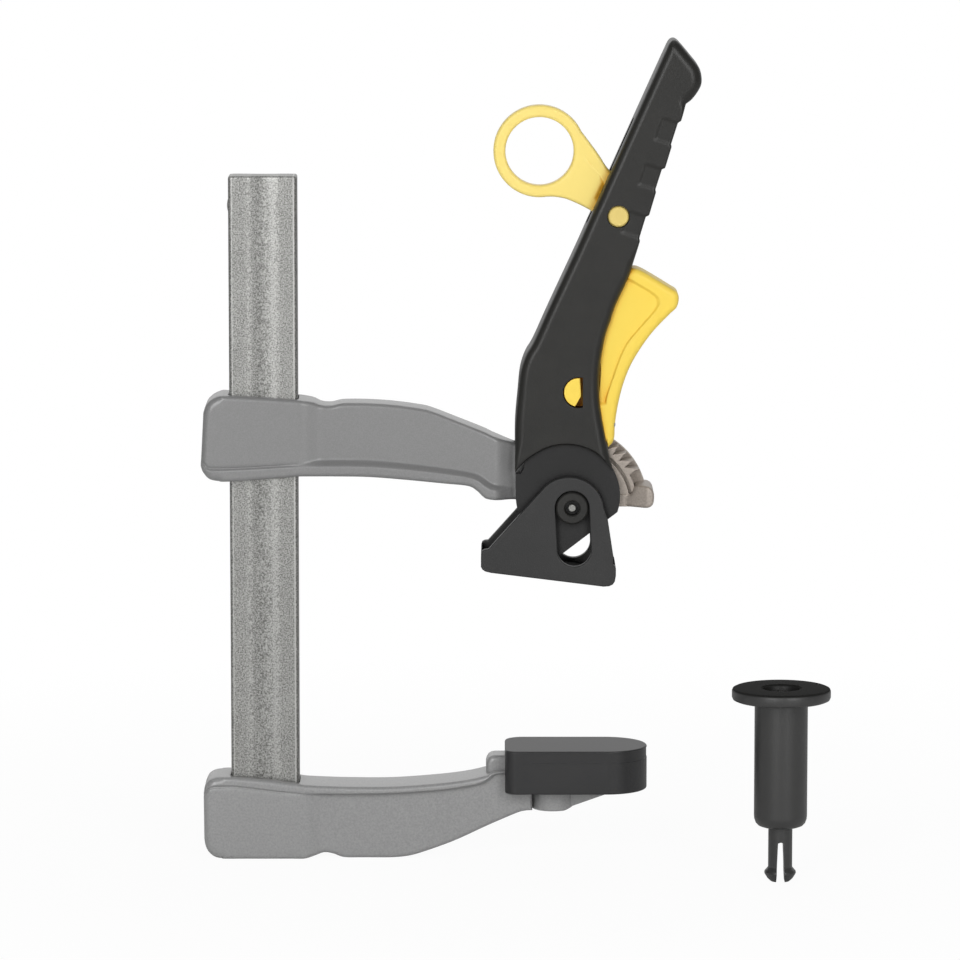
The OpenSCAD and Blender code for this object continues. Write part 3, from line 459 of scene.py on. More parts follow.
def mouldedPlastic(name, colour, second, grain, bump, roughness, cloud=18.0, sheen=0.5, mattAbove=None,
        deep=None, reach=3.2):
    # moulded plastic: an even colour with a faint cloud, a fine spark-eroded grain as bump; above the
    # height mattAbove, in mm, the face is matt; where another face stands within reach, in mm, the
    # colour turns to deep as painted shade in corners and gaps
    material, tree = newMaterial(name)
    place = addNode(tree, "ShaderNodeTexCoord").outputs["Object"]
    fine = addNode(tree, "ShaderNodeTexNoise", {"Vector": place}, Scale=1 / (grain * mm), Detail=2.0)
    slow = addNode(tree, "ShaderNodeTexNoise", {"Vector": place}, Scale=1 / (cloud * mm), Detail=3.0)
    tone = addNode(tree, "ShaderNodeMix", {"Factor": slow.outputs["Fac"], "A": hexColour(colour),
            "B": hexColour(second)}, data_type="RGBA")
    # painted shade: where ambient occlusion finds another face within reach, the colour is mixed towards deep
    if deep:
        around = addNode(tree, "ShaderNodeAmbientOcclusion", Distance=reach * mm)
        closed = mappedValue(tree, around.outputs["AO"], 0.4, 0.88, 1.0, 0.0)
        tone = addNode(tree, "ShaderNodeMix", {"Factor": closed, "A": tone.outputs[2],
                "B": hexColour(deep)}, data_type="RGBA")
    pit = addNode(tree, "ShaderNodeBump", {"Height": fine.outputs["Fac"]}, Strength=bump,
        Distance=grain * mm * 0.4)
    shader = addNode(tree, "ShaderNodeBsdfPrincipled",
        {"Base Color": tone.outputs[2], "Normal": pit.outputs[0]},
        Roughness=roughness, **{"Specular IOR Level": sheen})
    if mattAbove:
        height = addNode(tree, "ShaderNodeSeparateXYZ", {0: place}).outputs[2]
        low, high = mattAbove * mm, (mattAbove + 0.5) * mm
        tree.links.new(mappedValue(tree, height, low, high, roughness, 0.75), shader.inputs["Roughness"])
        tree.links.new(mappedValue(tree, height, low, high, sheen, 0.08), shader.inputs["Specular IOR Level"])
    finishMaterial(tree, shader)
    return material


# galvanised flat bar: bright and dark zinc grains about half a millimetre across
# painted light on the bar: painted highlight lines just inside both edges (X -9.05 and 9.05), painted shade
# on the rounded edges (X -9.9 and 9.9), painted highlight stripes at X 3.4 and -4.4 where the groove would
# reflect the lamps, and a slightly darker stripe at X -1.6
zincPlatedSteel = grainyMetal("zincPlatedSteel", "#C2C2BF", "#646461", 0.42, 0.12, 0.60, 0.36, cloud=8.0,
    sharp=0.16, paintedLightBands=((-9.05, 0.24, 0.4), (9.05, 0.26, 0.8), (-9.9, 0.75, -0.2),
        (9.9, 0.75, -0.2), (3.4, 1.6, 0.16), (-4.4, 1.3, 0.10),
        (-1.6, 2.2, -0.08)))
# shot-blasted and lacquered castings: an even satin grey with a faint sparkle
lacqueredCasting = grainyMetal("lacqueredCasting", "#898989", "#7D7D7D", 0.35, 0.06, 0.10, 0.45, coat=0.8)
# the lower casting is more mottled, and is given a lighter tone than the arm's casting as painted light, to
# make up for the dimmer lamp reflections it gets
mottledPaintedLightCasting = grainyMetal("mottledPaintedLightCasting", "#9E9E9E", "#8E8E8E", 0.6, 0.08, 0.10, 0.45, coat=0.8)
# bare hardened steel of the ratchet: warm grey, smoother
bareRatchetSteel = grainyMetal("bareRatchetSteel", "#B4AAA0", "#9A9188", 0.5, 0.10, 0.3, 0.42)
# bright turned pins
turnedSteel = grainyMetal("turnedSteel", "#B5B5B1", "#8E8E8A", 0.3, 0.05, 0.9, 0.30)
# black glass-filled nylon of the lever: dull with a faint brown and grey bloom, and near-black painted shade
# within 2.4 mm of another face
blackNylon = mouldedPlastic("blackNylon", "#181816", "#262522", 0.45, 0.16, 0.38, cloud=9.0, sheen=0.45,
    deep="#050505", reach=2.4)
# black powder coat on the shoe and the cam plates, with near-black painted shade within 2.4 mm of another
# face
blackCoat = mouldedPlastic("blackCoat", "#222222", "#2A2A2A", 0.5, 0.22, 0.42, sheen=0.32, deep="#060606",
    reach=2.4)
# the shoe's coat is a little greyer, with near-black painted shade within 2 mm of another face
greyCoat = mouldedPlastic("greyCoat", "#303030", "#383838", 0.5, 0.22, 0.46, sheen=0.32, deep="#080808",
    reach=2.0)
# the shoe's floor is coloured near-black as painted shade, for the shade of its side plates, and is left matt
mattPaintedShadeFloor = mouldedPlastic("mattPaintedShadeFloor", "#101010", "#161616", 0.6, 0.20, 0.80, sheen=0.1)
# soft dark rubber of the pad
darkRubber = mouldedPlastic("darkRubber", "#1E1E1F", "#262627", 0.6, 0.10, 0.44, sheen=0.6)
# yellow acetal of the trigger and the ring, turning orange as painted shade within 3.2 mm of another face
yellowAcetal = mouldedPlastic("yellowAcetal", "#FFDC57", "#FFE061", 0.5, 0.02, 0.38, sheen=0.3,
    deep="#F2A41E")
# the thin ring is painted a paler yellow as painted light for the light it lets through, and turns orange as
# painted shade within 3.2 mm of another face
thinAcetal = mouldedPlastic("thinAcetal", "#FFE47D", "#FFE887", 0.5, 0.02, 0.34, sheen=0.4, deep="#F7B838")
# the ring's pin is a duller yellow
pinAcetal = mouldedPlastic("pinAcetal", "#E4CB74", "#EAD27E", 0.5, 0.02, 0.42, sheen=0.4)
# the peg: a polished sleeve under a matt head
pegNylon = mouldedPlastic("pegNylon", "#191918", "#20201F", 0.45, 0.08, 0.38, sheen=1.0, mattAbove=56.0)
print("materials made")
slotMaterial = {"bar_steel": zincPlatedSteel, "casting": lacqueredCasting, "pin_steel": turnedSteel,
    "black_steel": blackCoat, "black_plastic": blackNylon, "pad_plastic": darkRubber,
    "yellow_plastic": yellowAcetal}
nodeSlot = {s["node"]: s["material_slot"] for s in frame["record"]["subparts"]}
for nodeName, node in frame["nodes"].items():
    node.data.materials.clear()
    node.data.materials.append(slotMaterial[nodeSlot[nodeName]])


# floor and background
world = bpy.data.worlds.new("studio")
bpy.context.scene.world = world
world.use_nodes = True
tree = world.node_tree
tree.nodes.clear()
# the tent is bright behind the clamp and dim on the camera's side
towards = addNode(tree, "ShaderNodeSeparateXYZ",
    {0: addNode(tree, "ShaderNodeTexCoord").outputs["Generated"]})
ambient = addNode(tree, "ShaderNodeBackground",
    {"Strength": mappedValue(tree, towards.outputs[1], 0.45, 0.95, 0.27, 0.85)},
    Color=(1, 1, 1, 1))
shown = addNode(tree, "ShaderNodeBackground", Color=(1, 1, 1, 1), Strength=1.0)
path = addNode(tree, "ShaderNodeLightPath")
mixed = addNode(tree, "ShaderNodeMixShader", {0: path.outputs["Is Camera Ray"],
        1: ambient.outputs[0], 2: shown.outputs[0]})
finishMaterial(tree, mixed, "ShaderNodeOutputWorld")

floorMaterial, tree = newMaterial("paperFloor")
matt = addNode(tree, "ShaderNodeBsdfDiffuse", Color=hexColour("#F4F4F4"))
bright = addNode(tree, "ShaderNodeEmission", Color=(1, 1, 1, 1), Strength=1.0)
path = addNode(tree, "ShaderNodeLightPath")
# the camera sees more of the white the farther the floor lies from the clamp, and near it the shadow
away = addNode(tree, "ShaderNodeVectorMath", {0: addNode(tree, "ShaderNodeTexCoord").outputs["Object"],
        1: (middle[0], 0, 0)}, operation="DISTANCE")
part = addNode(tree, "ShaderNodeMath", {0: path.outputs["Is Camera Ray"],
        1: mappedValue(tree, away.outputs["Value"], 0.1, 0.35, 0.95, 1.0)},
    operation="MULTIPLY")
mixed = addNode(tree, "ShaderNodeMixShader", {0: part.outputs[0], 1: matt.outputs[0], 2: bright.outputs[0]})
finishMaterial(tree, mixed)
floorMesh = bpy.data.meshes.new("floor")
floorHalf = 4.0   # metres
floorMesh.from_pydata([(x * floorHalf, y * floorHalf, 0) for x, y in ((-1, -1), (1, -1), (1, 1), (-1, 1))],
    [], [(0, 1, 2, 3)])
floor = bpy.data.objects.new("floor", floorMesh)
floorMesh.materials.append(floorMaterial)
bpy.context.collection.objects.link(floor)
floor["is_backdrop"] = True
print("floor and studio made")

# flat bar
bar = {"width": 20.0, "thick": 10.0, "corner": 1.2, "grooveWidth": 9.6, "grooveDepth": 0.6,
    "low": 3.0, "top": 202.0, "endEdge": 0.7}


def barSection(b):
    # a rectangle with quarter-round corners; on each face a shallow round groove that ends in a crease:
    # its depth is depth * (1 - (x / half width)^2)
    t, g = b["thick"] / 2, b["grooveWidth"] / 2
    corners = roundedCorners(b["width"], b["thick"], b["corner"])
    x = np.linspace(g, -g, 25)
    dip = b["grooveDepth"] * (1 - (x / g) ** 2)
    return np.vstack([corners[0], np.c_[x, t - dip], corners[1], corners[2], np.c_[-x, dip - t], corners[3]])


makePiece("barSteel", plate(barSection(bar), bar["low"], bar["top"], bar["endEdge"], across="z"),
    zincPlatedSteel, "frame", replaces=("bar",))
# a pin in the bar's left edge with an elliptical dome for an end
stopPin = {"radius": 2.0, "drop": 8.8, "proud": 0.45}
dome, barSide = np.linspace(0, math.pi / 2, 7)[1:], -bar["width"] / 2
profile = np.r_[[[axisGap, barSide - stopPin["proud"]]],
    np.c_[stopPin["radius"] * np.sin(dome), barSide - stopPin["proud"] * np.cos(dome)],
    [[stopPin["radius"], 0.0], [axisGap, 0.0]]]
makePiece("stopPinEnd", turned(profile, (0, 0, bar["top"] - stopPin["drop"]), "x"), turnedSteel, "frame",
    replaces=("bar_stop_pin",))
print("bar made")

# castings
casting = {"collarHalf": 8.3, "webHalf": 6.2, "rimHalf": 8.6, "collarEnd": 11.6, "webStart": 17.0,
    "fillet": 1.6, "crease": 0.45, "creaseEnd": (4.0, 11.6), "edge": 1.25, "band": (1.53125, 0.98),
    "leftEdge": 2.1, "leftReach": -13.0, "stations": 240}


def softRamp(x, start, end, fillet):
    # 0 before start, 1 after end, straight in between, and a parabola over the fillet at both corners
    def corner(u):
        return np.where(u < -fillet, 0, np.where(u > fillet, u, (u + fillet) ** 2 / (4 * fillet)))
    return (corner(x - start) - corner(x - end)) / (end - start)


jawLines = [
    # under edge, end of the flat web, start of the full rim, top edge: each from the left end, in mm
    [(-18.05, 6.0), (-17.7, 3.9), (-16.8, 2.0), (-15.2, 0.6), (-12.9, 0.02), (-6, 0.0), (2, 0.0), (8, 0.0),
     (11.6, 0.0), (14.5, 0.7), (17.4, 1.55), (20.2, 1.1), (23.4, 0.05), (30, 0.0), (37, 0.0), (42.4, 0.5),
     (47.9, 2.1), (56.2, 5.2), (65.4, 9.5), (73.6, 13.1), (76.4, 14.0), (78.9, 14.2)],
    [(-18.15, 18.4), (-17.2, 20.0), (-15.3, 21.0), (-9.4, 21.2), (-3.8, 20.6), (1.9, 19.9), (7.7, 19.3),
     (13.3, 19.0), (23.9, 18.9), (36.9, 19.1), (51.6, 20.1), (62.5, 21.7), (66.3, 23.2), (69.0, 25.2),
     (78.9, 25.4)],
    [(-18.1, 19.8), (-17.0, 21.4), (-15.0, 22.3), (-9.4, 22.4), (-3.8, 21.8), (1.9, 21.1), (7.7, 20.5),
     (13.3, 20.1), (23.9, 20.0), (36.9, 20.2), (51.6, 21.2), (62.0, 22.8), (65.6, 24.4), (68.0, 25.9),
     (78.9, 26.1)],
    [(-17.9, 21.2), (-16.9, 23.2), (-15.1, 24.3), (-12.7, 24.6), (-9.4, 24.58), (-0.9, 23.9), (4.7, 23.2),
     (10.3, 22.5), (13.0, 22.2), (23.6, 21.8), (37.8, 21.8), (51.6, 22.8), (60.0, 23.9), (65.5, 25.2),
     (68.0, 26.3), (78.9, 26.4)],
]


def castBody(lines, counts, bandOf, neck=None):
    # the grid of a casting and its half thickness: collar, web, and the rim where bandOf(row) is 1; the
    # neck (start, end, half thickness) thins it towards the hub
    c = casting
    lines = [evenSteps(throughPoints(q), c["stations"]) for q in lines]
    grid, row = edgedGrid(lines, c["band"], c["band"], counts)
    x = grid[..., 0]
    toWeb = softRamp(x, c["collarEnd"], c["webStart"], c["fillet"])
    base = c["collarHalf"] + (c["webHalf"] - c["collarHalf"]) * toWeb
    share = bandOf(row)[:, None]
    half = base + (c["rimHalf"] - base) * share
    # round the collar a crease parts the rim from the flat
    half = half - c["crease"] * 4 * share * (1 - share) * (1 - smoothStep(x, *c["creaseEnd"]))
    if neck:
        start, end, thin = neck
        half = half + (thin - half) * smoothStep(x, start, end - start)
    outline = np.vstack([grid[0], grid[1:-1, -1], grid[-1, ::-1], grid[-2:0:-1, 0]])
    drop = roundDrop(wayTo(grid, outline, closed=True), c["edge"])
    left = np.vstack([grid[-1, ::-1], grid[::-1, 0], grid[0]])
    left = left[left[:, 0] < c["leftReach"]]
    half = half - np.maximum(drop, roundDrop(wayTo(grid, left), c["leftEdge"]))
    return grid, half


def barOpening(gap, low, high):
    # the bar's rectangle with a running gap all round
    corners = roundedCorners(bar["width"] + 2 * gap, bar["thick"] + 2 * gap, bar["corner"])
    return plate(np.vstack(corners), low, high, 0.001, across="z", steps=1)


# rows: under edge | inside of it | web end | rim start | inside of the top | top edge
jawGrid, jawHalf = castBody(jawLines, (8, 22, 8, 4, 8), lambda row: smoothStep(row, 2))
jaw = makePiece("jawCasting", twoFaced(jawGrid, jawHalf), mottledPaintedLightCasting, "frame",
    replaces=("fixed_jaw",))
cutBy(jaw, [barOpening(0.2, 3.2, 40.0)])
# the jaw's head: boss, the gusset that slopes up beside it, and the raised lug
head = {"x": 84.9, "bossRadius": 6.3, "bossLow": 13.95, "bossTop": 26.3, "hole": 3.7, "edge": 0.7,
    "gusset": [(80.5, 14.05), (88.2, 14.05), (103.0, 19.3), (103.0, 25.0), (80.5, 25.0)],
    "gussetHalf": 3.1,
    "lug": [(65.3, 22.5), (65.2, 27.9), (65.45, 28.9), (66.0, 29.8), (66.8, 30.3), (67.8, 30.5),
        (74.0, 30.5), (74.0, 22.5)], "lugHalf": 4.9}
h = head
bossPoints, bossFaces = plate(circle((h["x"], 0), h["bossRadius"], 72), h["bossLow"], h["bossTop"], h["edge"],
    across="z", holes=[circle((h["x"], 0), h["hole"], 48)], holeEdge=0.5)
# points of the boss under the gusset's sloping line are lifted on to it
(slopeX, _), (endX, endZ) = h["gusset"][1:3]
slope = (endZ - h["bossLow"]) / (endX - slopeX)
lifted = h["bossLow"] + np.maximum(bossPoints[:, 0] - slopeX, 0) * slope
bossPoints[:, 2] = np.maximum(bossPoints[:, 2], lifted)
headParts = [(bossPoints, bossFaces), plate(h["gusset"], -h["gussetHalf"], h["gussetHalf"], 0.6),
    plate(h["lug"], -h["lugHalf"], h["lugHalf"], 1.5, steps=6)]
makePiece("jawHead", headParts, mottledPaintedLightCasting, "frame")

armLines = [
    # under edge, rim crest, web start, top edge: each from the left end, in mm over the base
    [(-18.35, 117.2), (-17.7, 115.3), (-15.9, 113.3), (-13.0, 112.62), (-9.8, 112.6), (-3.3, 113.0),
     (8.1, 113.9), (10.1, 114.1), (23.9, 114.1), (31.8, 113.9), (41.9, 113.1), (53.2, 112.0), (59.9, 111.3),
     (62.5, 109.9), (64.3, 108.2), (66.2, 107.3), (73.7, 106.7), (80.0, 106.6)],
    [(-18.3, 118.4), (-17.0, 116.6), (-15.0, 115.8), (-5.9, 116.1), (8.1, 116.8), (19.6, 117.0),
     (32.6, 116.8), (45.6, 115.7), (56.9, 114.3), (62.0, 113.1), (65.5, 110.6), (68.1, 109.9),
     (73.7, 109.7), (80.0, 109.7)],
    [(-18.2, 119.9), (-16.9, 118.1), (-15.0, 117.2), (-8.9, 117.2), (-0.4, 117.6), (10.7, 118.4),
     (16.3, 119.0), (23.9, 119.1), (32.6, 118.9), (45.6, 117.6), (56.9, 116.0), (63.1, 114.7),
     (66.3, 112.5), (68.6, 111.5), (73.7, 111.3), (80.0, 111.3)],
    [(-17.5, 132.8), (-16.9, 134.7), (-16.1, 135.9), (-14.4, 137.2), (-12.6, 137.85), (-10.2, 137.85),
     (0.0, 137.3), (8.9, 136.7), (11.9, 136.4), (14.7, 135.9), (16.9, 135.0), (19.9, 134.8), (23.4, 135.5),
     (30.5, 135.5), (38.1, 135.0), (45.5, 134.0), (49.3, 133.1), (56.8, 130.2), (64.3, 127.2),
     (67.9, 125.5), (73.8, 123.4), (80.0, 121.6)],
]
armGrid, armHalf = castBody(armLines, (8, 4, 8, 24, 8), lambda row: 1 - smoothStep(row, 2),
    neck=(67.4, 73.4, 3.95))
arm = makePiece("armCasting", twoFaced(armGrid, armHalf), lacqueredCasting, "arm")
cutBy(arm, [barOpening(0.3, 100.0, 150.0)])
print("castings made")

# ratchet sector
pivot = np.array([90.4, 105.15])
sector = {"tip": 22.3, "root": 19.2, "first": 28.2, "step": 7.8, "teeth": 9, "half": 4.0, "wall": 1.3,
    "band": 17.9, "hub": 7.5, "stopHalf": 8.0}


def atAngle(angle, radius):
    # the point at an angle in degrees and a distance from the pivot
    return pivot + radius * np.array([math.cos(math.radians(angle)), math.sin(math.radians(angle))])


def arcAt(radius, start, end, count=40):
    # an arc round the pivot, its angles in degrees
    return circle(pivot, radius, count, math.radians(start), math.radians(end))


def toothedEdge(s):
    # from the lowest tooth up: straight up to each tip, then a long slope down to the next root
    rows = []
    for k in range(s["teeth"]):
        angle = s["first"] + k * s["step"]
        rows += [atAngle(angle - 0.35, s["root"]), atAngle(angle, s["tip"] - 0.15),
            atAngle(angle + 0.35, s["tip"])]
    return np.array(rows)


top = sector["first"] + (sector["teeth"] - 1) * sector["step"] + 2
band = np.vstack([arcAt(sector["root"], -1, sector["first"] - sector["step"], 10), toothedEdge(sector),
        arcAt(sector["band"], top, -1)])
wall = np.vstack([arcAt(sector["tip"], -1, top), arcAt(sector["band"], top, -1)])
web = np.vstack([[pivot], arcAt(sector["band"] - 0.85, 0, top - 1)])
slotFloor = np.vstack([[pivot], arcAt(sector["band"] + 0.4, 0, top - 1)])
tongue = pivot + np.array([(-14.5, 19.4), (-12.0, 18.6), (-6.0, 17.6), (1.0, 18.4), (3.0, 10.0), (0, -7.35),
        (-4.9, -5.5), (-9.0, -1.0), (-14.5, 1.0)])
ledge = pivot + np.array([(0, -0.45), (0, 3.2), (20.0, 3.2), (20.0, -0.45)])
s = sector
# the stop block under the teeth grows thicker on a slope, from the sector's thickness to its own
stopBlock = {"under": [(15.6, -0.43), (17.6, -0.43), (19.6, -0.43), (21.6, -0.43), (22.9, -0.1), (23.7, 0.7),
        (24.0, 1.8), (24.0, 2.5)],
    "over": [(15.6, 3.0), (17.0, 3.1), (17.9, 4.3), (18.5, 5.5), (19.3, 6.0), (21.4, 6.1),
        (22.8, 5.7), (23.6, 4.9), (24.0, 3.8), (24.0, 3.1)],
    "start": 15.8, "end": 22.2, "fillet": 0.7, "thin": 3.95, "edge": 0.9}
k = stopBlock
stopLines = [evenSteps(throughPoints(k[q]), 60) for q in ("under", "over")]
grid, _ = edgedGrid(stopLines, (1.1, 0.4), (1.1, 0.4), (6, 8, 6))
stopHalf = k["thin"] + (s["stopHalf"] - k["thin"]) * softRamp(grid[..., 0], k["start"], k["end"], k["fillet"])
stopHalf = stopHalf - roundDrop(wayTo(grid, np.vstack([stopLines[0], stopLines[1][::-1]])), k["edge"])
sectorParts = [plate(band, -s["half"], s["half"] - s["wall"], 0.28, steps=2),
    plate(wall, s["half"] - s["wall"], s["half"], 0.3, steps=2),
    plate(web, -s["half"] + 0.3, s["half"] - 0.3, 0.2, steps=2),
    plate(slotFloor, -s["half"] + 2.2, s["half"] - 2.2, 0.2, steps=2),
    plate(circle(pivot, s["hub"], 64), -s["half"], s["half"], 0.4),
    plate(ledge, -s["half"] + 0.02, s["half"] - 0.02, 0.3), twoFaced(grid + pivot, stopHalf)]
makePiece("ratchetSector", sectorParts, bareRatchetSteel, "arm", replaces=("sliding_arm",))
# the arm runs on between the cheeks as far as the hub
makePiece("armTongue", plate(tongue, -s["half"], s["half"], 0.4), lacqueredCasting, "arm")
print("ratchet made")

# lever handle


def inside(points, loop):
    # even-odd test: a point is inside where a line from it to the right crosses the loop an odd number of
    # times
    p, loop = points.reshape(-1, 2), np.asarray(loop, float)
    a, b = loop, np.roll(loop, -1, 0)
    x, z = p[:, :1], p[:, 1:]
    level = (a[:, 1] > z) != (b[:, 1] > z)
    rise = np.where(b[:, 1] == a[:, 1], 1e-9, b[:, 1] - a[:, 1])
    cross = a[:, 0] + (z - a[:, 1]) * (b[:, 0] - a[:, 0]) / rise
    return ((level & (x < cross)).sum(1) % 2 == 1).reshape(points.shape[:-1])


handle = {
    # from the pivot, mm: left edge and right edge from the cheeks' lower end to the tip
    "left": [(-16.7, 10.1), (-16.7, 16.0), (-16.7, 22.6), (-16.5, 26.8), (-15.9, 33.3), (-15.2, 39.9),
        (-13.7, 44.6), (-11.4, 48.6), (-7.1, 58.2), (-0.45, 72.6), (2.15, 78.3), (4.6, 83.9),
        (7.95, 91.3), (11.45, 99.2), (17.9, 113.7), (23.7, 126.6), (27.15, 134.2), (28.0, 135.8),
        (28.9, 136.55)],
    "waist": [(12.3, 9.7), (11.6, 12.3), (10.2, 18.2), (8.6, 26.8), (7.9, 33.3), (8.1, 41.2), (9.5, 49.7),
        (11.2, 55.0), (12.7, 59.5), (16.3, 67.3), (17.5, 71.1), (19.6, 78.3)],
    "grip": [(19.4, 79.1), (21.3, 85.4), (22.2, 85.7), (24.2, 92.5), (24.0, 93.2), (25.9, 99.2),
        (26.8, 99.5), (28.7, 105.8), (28.5, 106.4), (30.5, 112.7), (31.4, 113.2), (32.8, 118.1)],
    "tip": [(32.8, 118.1), (34.6, 119.4), (36.6, 122.1), (37.4, 124.7), (36.7, 128.4), (34.0, 132.0),
        (31.3, 135.2), (30.3, 136.2), (29.5, 136.6)],
    "disc": (-1.2, 3.2), "discShare": (0, 0.22, 0.5, 1), "discRadius": (16.97, 15.7, 15.25, 14.98),
    "half": 9.0, "wall": 2.4, "stations": 300, "arcStations": 72,
    # radii of the rounded edges, and the heights where they change, each with the way the change takes
    "leftRound": 2.6, "waistRound": 2.8, "gripRound": 0.7, "tipRound": 3.4, "footRound": 0.7,
    "footEnd": (12, 9), "footShare": 0.4, "waistEnd": (70, 8), "gripEnd": (115, 6),
    # shallow finger recesses along the grip: from, to, measured up the handle
    "recesses": [(81.2, 87.7), (96.0, 102.3), (109.9, 116.5)], "recessDepth": 0.38, "recessReach": 4.9,
    "recessSide": 1.1, "up": (0.318, 0.948),
    # half widths of the inside: the ring's slot, the trigger's channel, between the cheeks, and the slot
    # in the left wall's foot, with the heights where the last two end; the least wall
    "ringHalf": 2.95, "channelHalf": 6.6, "cheekHalf": 7.3, "cheekTop": 42.3, "footHalf": 4.15,
    "footTop": 19.2, "leastWall": 0.4,
    "channel": [(-8.5, 41.0), (-4.8, 58.0), (0.3, 69.3), (3.0, 75.6), (17.6, 72.0), (31.4, 70.1),
        (31.4, 13.7), (6.8, 13.7), (4.8, 41.0)],
    "ringSlot": np.array([(0.06, 0.585), (0.113, 0.587), (0.136, 0.615), (0.145, 0.7), (0.165, 0.79),
        (0.09, 0.88), (-0.05, 0.88), (-0.05, 0.66)]) * 136.7,
}
h = handle
leftEdge = evenSteps(throughPoints(h["left"]), h["stations"])
rightEdge = evenSteps(np.vstack([throughPoints(h["waist"]), h["grip"], throughPoints(h["tip"])]),
    h["stations"])
grid, _ = edgedGrid([leftEdge, rightEdge], (3.6, 0.42), (2.6, 0.3), (12, 26, 12))
# the lower ends of the lines are drawn on to the disc's arc
grid = drawnToArc(grid, h["disc"], lambda q: np.interp(q, h["discShare"], h["discRadius"]), h["arcStations"])
z = grid[..., 1]
rightRound = h["waistRound"] + (h["gripRound"] - h["waistRound"]) * smoothStep(z, *h["waistEnd"])
rightRound = rightRound + (h["tipRound"] - rightRound) * smoothStep(z, *h["gripEnd"])
leftRound = h["leftRound"] * (h["footShare"] + (1 - h["footShare"]) * smoothStep(z, *h["footEnd"]))
toLeft = wayTo(grid, leftEdge)
drop = roundDrop(toLeft, leftRound)
for line, edgeRound in ((rightEdge, rightRound), (grid[:, -1], h["tipRound"]), (grid[:, 0], h["footRound"])):
    drop = np.maximum(drop, roundDrop(wayTo(grid, line), edgeRound))
along, side = grid @ h["up"], h["recessSide"]
toRight = wayTo(grid, np.array([h["grip"][0], h["grip"][-2]]))
nearRight = 1 - smoothStep(toRight, h["recessReach"], side)
for start, end in h["recesses"]:
    within = smoothStep(along, start - side / 2, side) * (1 - smoothStep(along, end - side / 2, side))
    drop = drop + h["recessDepth"] * within * nearRight
outer = h["half"] - drop
inner = np.zeros_like(z)
inner[inside(grid, h["ringSlot"])] = h["ringHalf"]
inner[inside(grid, h["channel"])] = h["channelHalf"]
inner[(z < h["cheekTop"]) & (toLeft > h["wall"])] = h["cheekHalf"]
inner[(z < h["footTop"]) & (toLeft <= h["wall"])] = h["footHalf"]
shell = twoFaced(grid + pivot, outer, np.minimum(inner, outer - h["leastWall"]))
lever = makePiece("leverHandle", shell, blackNylon, "lever", replaces=("handle_shell",))
window = {"centre": (1.8, 33.9), "radius": 4.55, "flat": 1.3, "ringPin": (13.3, 85.4), "pinHole": 3.3}
w = window
openAngle = math.acos(w["flat"] / w["radius"])
arcPoints = circle(pivot + w["centre"], w["radius"], 40, openAngle, 2 * math.pi - openAngle)
cutBy(lever, [plate(arcPoints, -12, 12, 0.001, steps=1),
        plate(circle(pivot + w["ringPin"], w["pinHole"], 48), -12, 12, 0.001, steps=1)])
# a round pin with a thicker middle that closes the hole behind its ends
ringPin = {"radius": 2.94, "half": 8.75, "edge": 0.35, "shoulder": 3.25, "shoulderHalf": 6.8}
q = ringPin
pinHalf = pinEnd(q) + [(q["radius"], -q["shoulderHalf"]), (q["shoulder"], -q["shoulderHalf"])]
pinAt = pivot + w["ringPin"]
makePiece("ringPinEnds", turned(bothEnds(pinHalf), (pinAt[0], 0, pinAt[1])), pinAcetal, "lever",
    replaces=("ring_pin",))
print("handle made")

# trigger
trigger = {
    "front": [(10.6, 17.2), (11.9, 18.6), (12.4, 20.4), (12.6, 24.2), (13.4, 29.6), (14.9, 35.7),
        (17.2, 41.6), (20.4, 47.0), (23.9, 51.7), (28.5, 56.5), (30.5, 58.5), (31.1, 61.2),
        (30.4, 63.1), (28.4, 64.4), (23.7, 67.3), (19.5, 69.6), (17.1, 69.9), (14.4, 69.4)],
    "rim": [(10.2, 20.0), (10.6, 23.0), (10.8, 26.0), (11.1, 29.3), (10.2, 30.8), (10.6, 33.2), (12.6, 38.9),
        (14.6, 44.4), (16.9, 48.7), (20.9, 53.4), (25.1, 58.3), (25.7, 60.8), (24.0, 62.9),
        (18.5, 66.3), (16.0, 67.7), (13.5, 69.0)],
    "back": [(9.7, 17.9), (8.7, 20.0), (7.9, 23.0), (7.6, 27.0), (7.7, 31.0), (8.2, 36.0), (8.4, 41.0),
        (8.1, 44.0), (8.3, 48.0), (9.7, 54.7), (11.8, 61.0), (13.6, 66.0), (14.2, 69.0)],
    "coreLine": [(7.8, 26.9), (1.0, 27.2), (-3.4, 28.6), (-4.1, 32.0), (-3.6, 37.5), (0.0, 43.7), (6.2, 54.7),
        (10.3, 61.5), (12.4, 66.8), (15.0, 68.0), (14.5, 60.0), (11.0, 50.0), (9.4, 38.0),
        (8.6, 30.0)],
    "half": 6.3, "core": 3.95, "edge": 2.1, "fork": 4.15, "forkTop": 26.6, "stations": 150,
    # the side's recess: its depth, and the heights where it begins and ends, each with its slope's way
    "recess": 0.9, "recessLow": (29.6, 1.4), "recessTop": (69.4, 0.8),
    "trunnion": 4.25, "trunnionHalf": 8.8, "trunnionCut": [(-0.9, -4.0), (0.75, -1.1), (0.45, 4.2)],
}
t = trigger
lines = [evenSteps(throughPoints(t[k]), t["stations"]) for k in ("front", "rim", "back")]
grid, row = bandedGrid([lines[0], partWay(lines[0], lines[1], 1.6, 0.5), lines[1],
        partWay(lines[1], lines[2], 1.4, 0.5), lines[2]], (9, 5, 8, 16))
z = grid[..., 1]
deep = smoothStep(row, 2)[:, None] * smoothStep(z, *t["recessLow"]) * (1 - smoothStep(z, *t["recessTop"]))
outer = t["half"] - t["recess"] * deep - roundDrop(wayTo(grid, lines[0]), t["edge"])
trunnionLoop = np.vstack([circle((0, 0), t["trunnion"], 30, math.radians(84), math.radians(254)),
        t["trunnionCut"]])
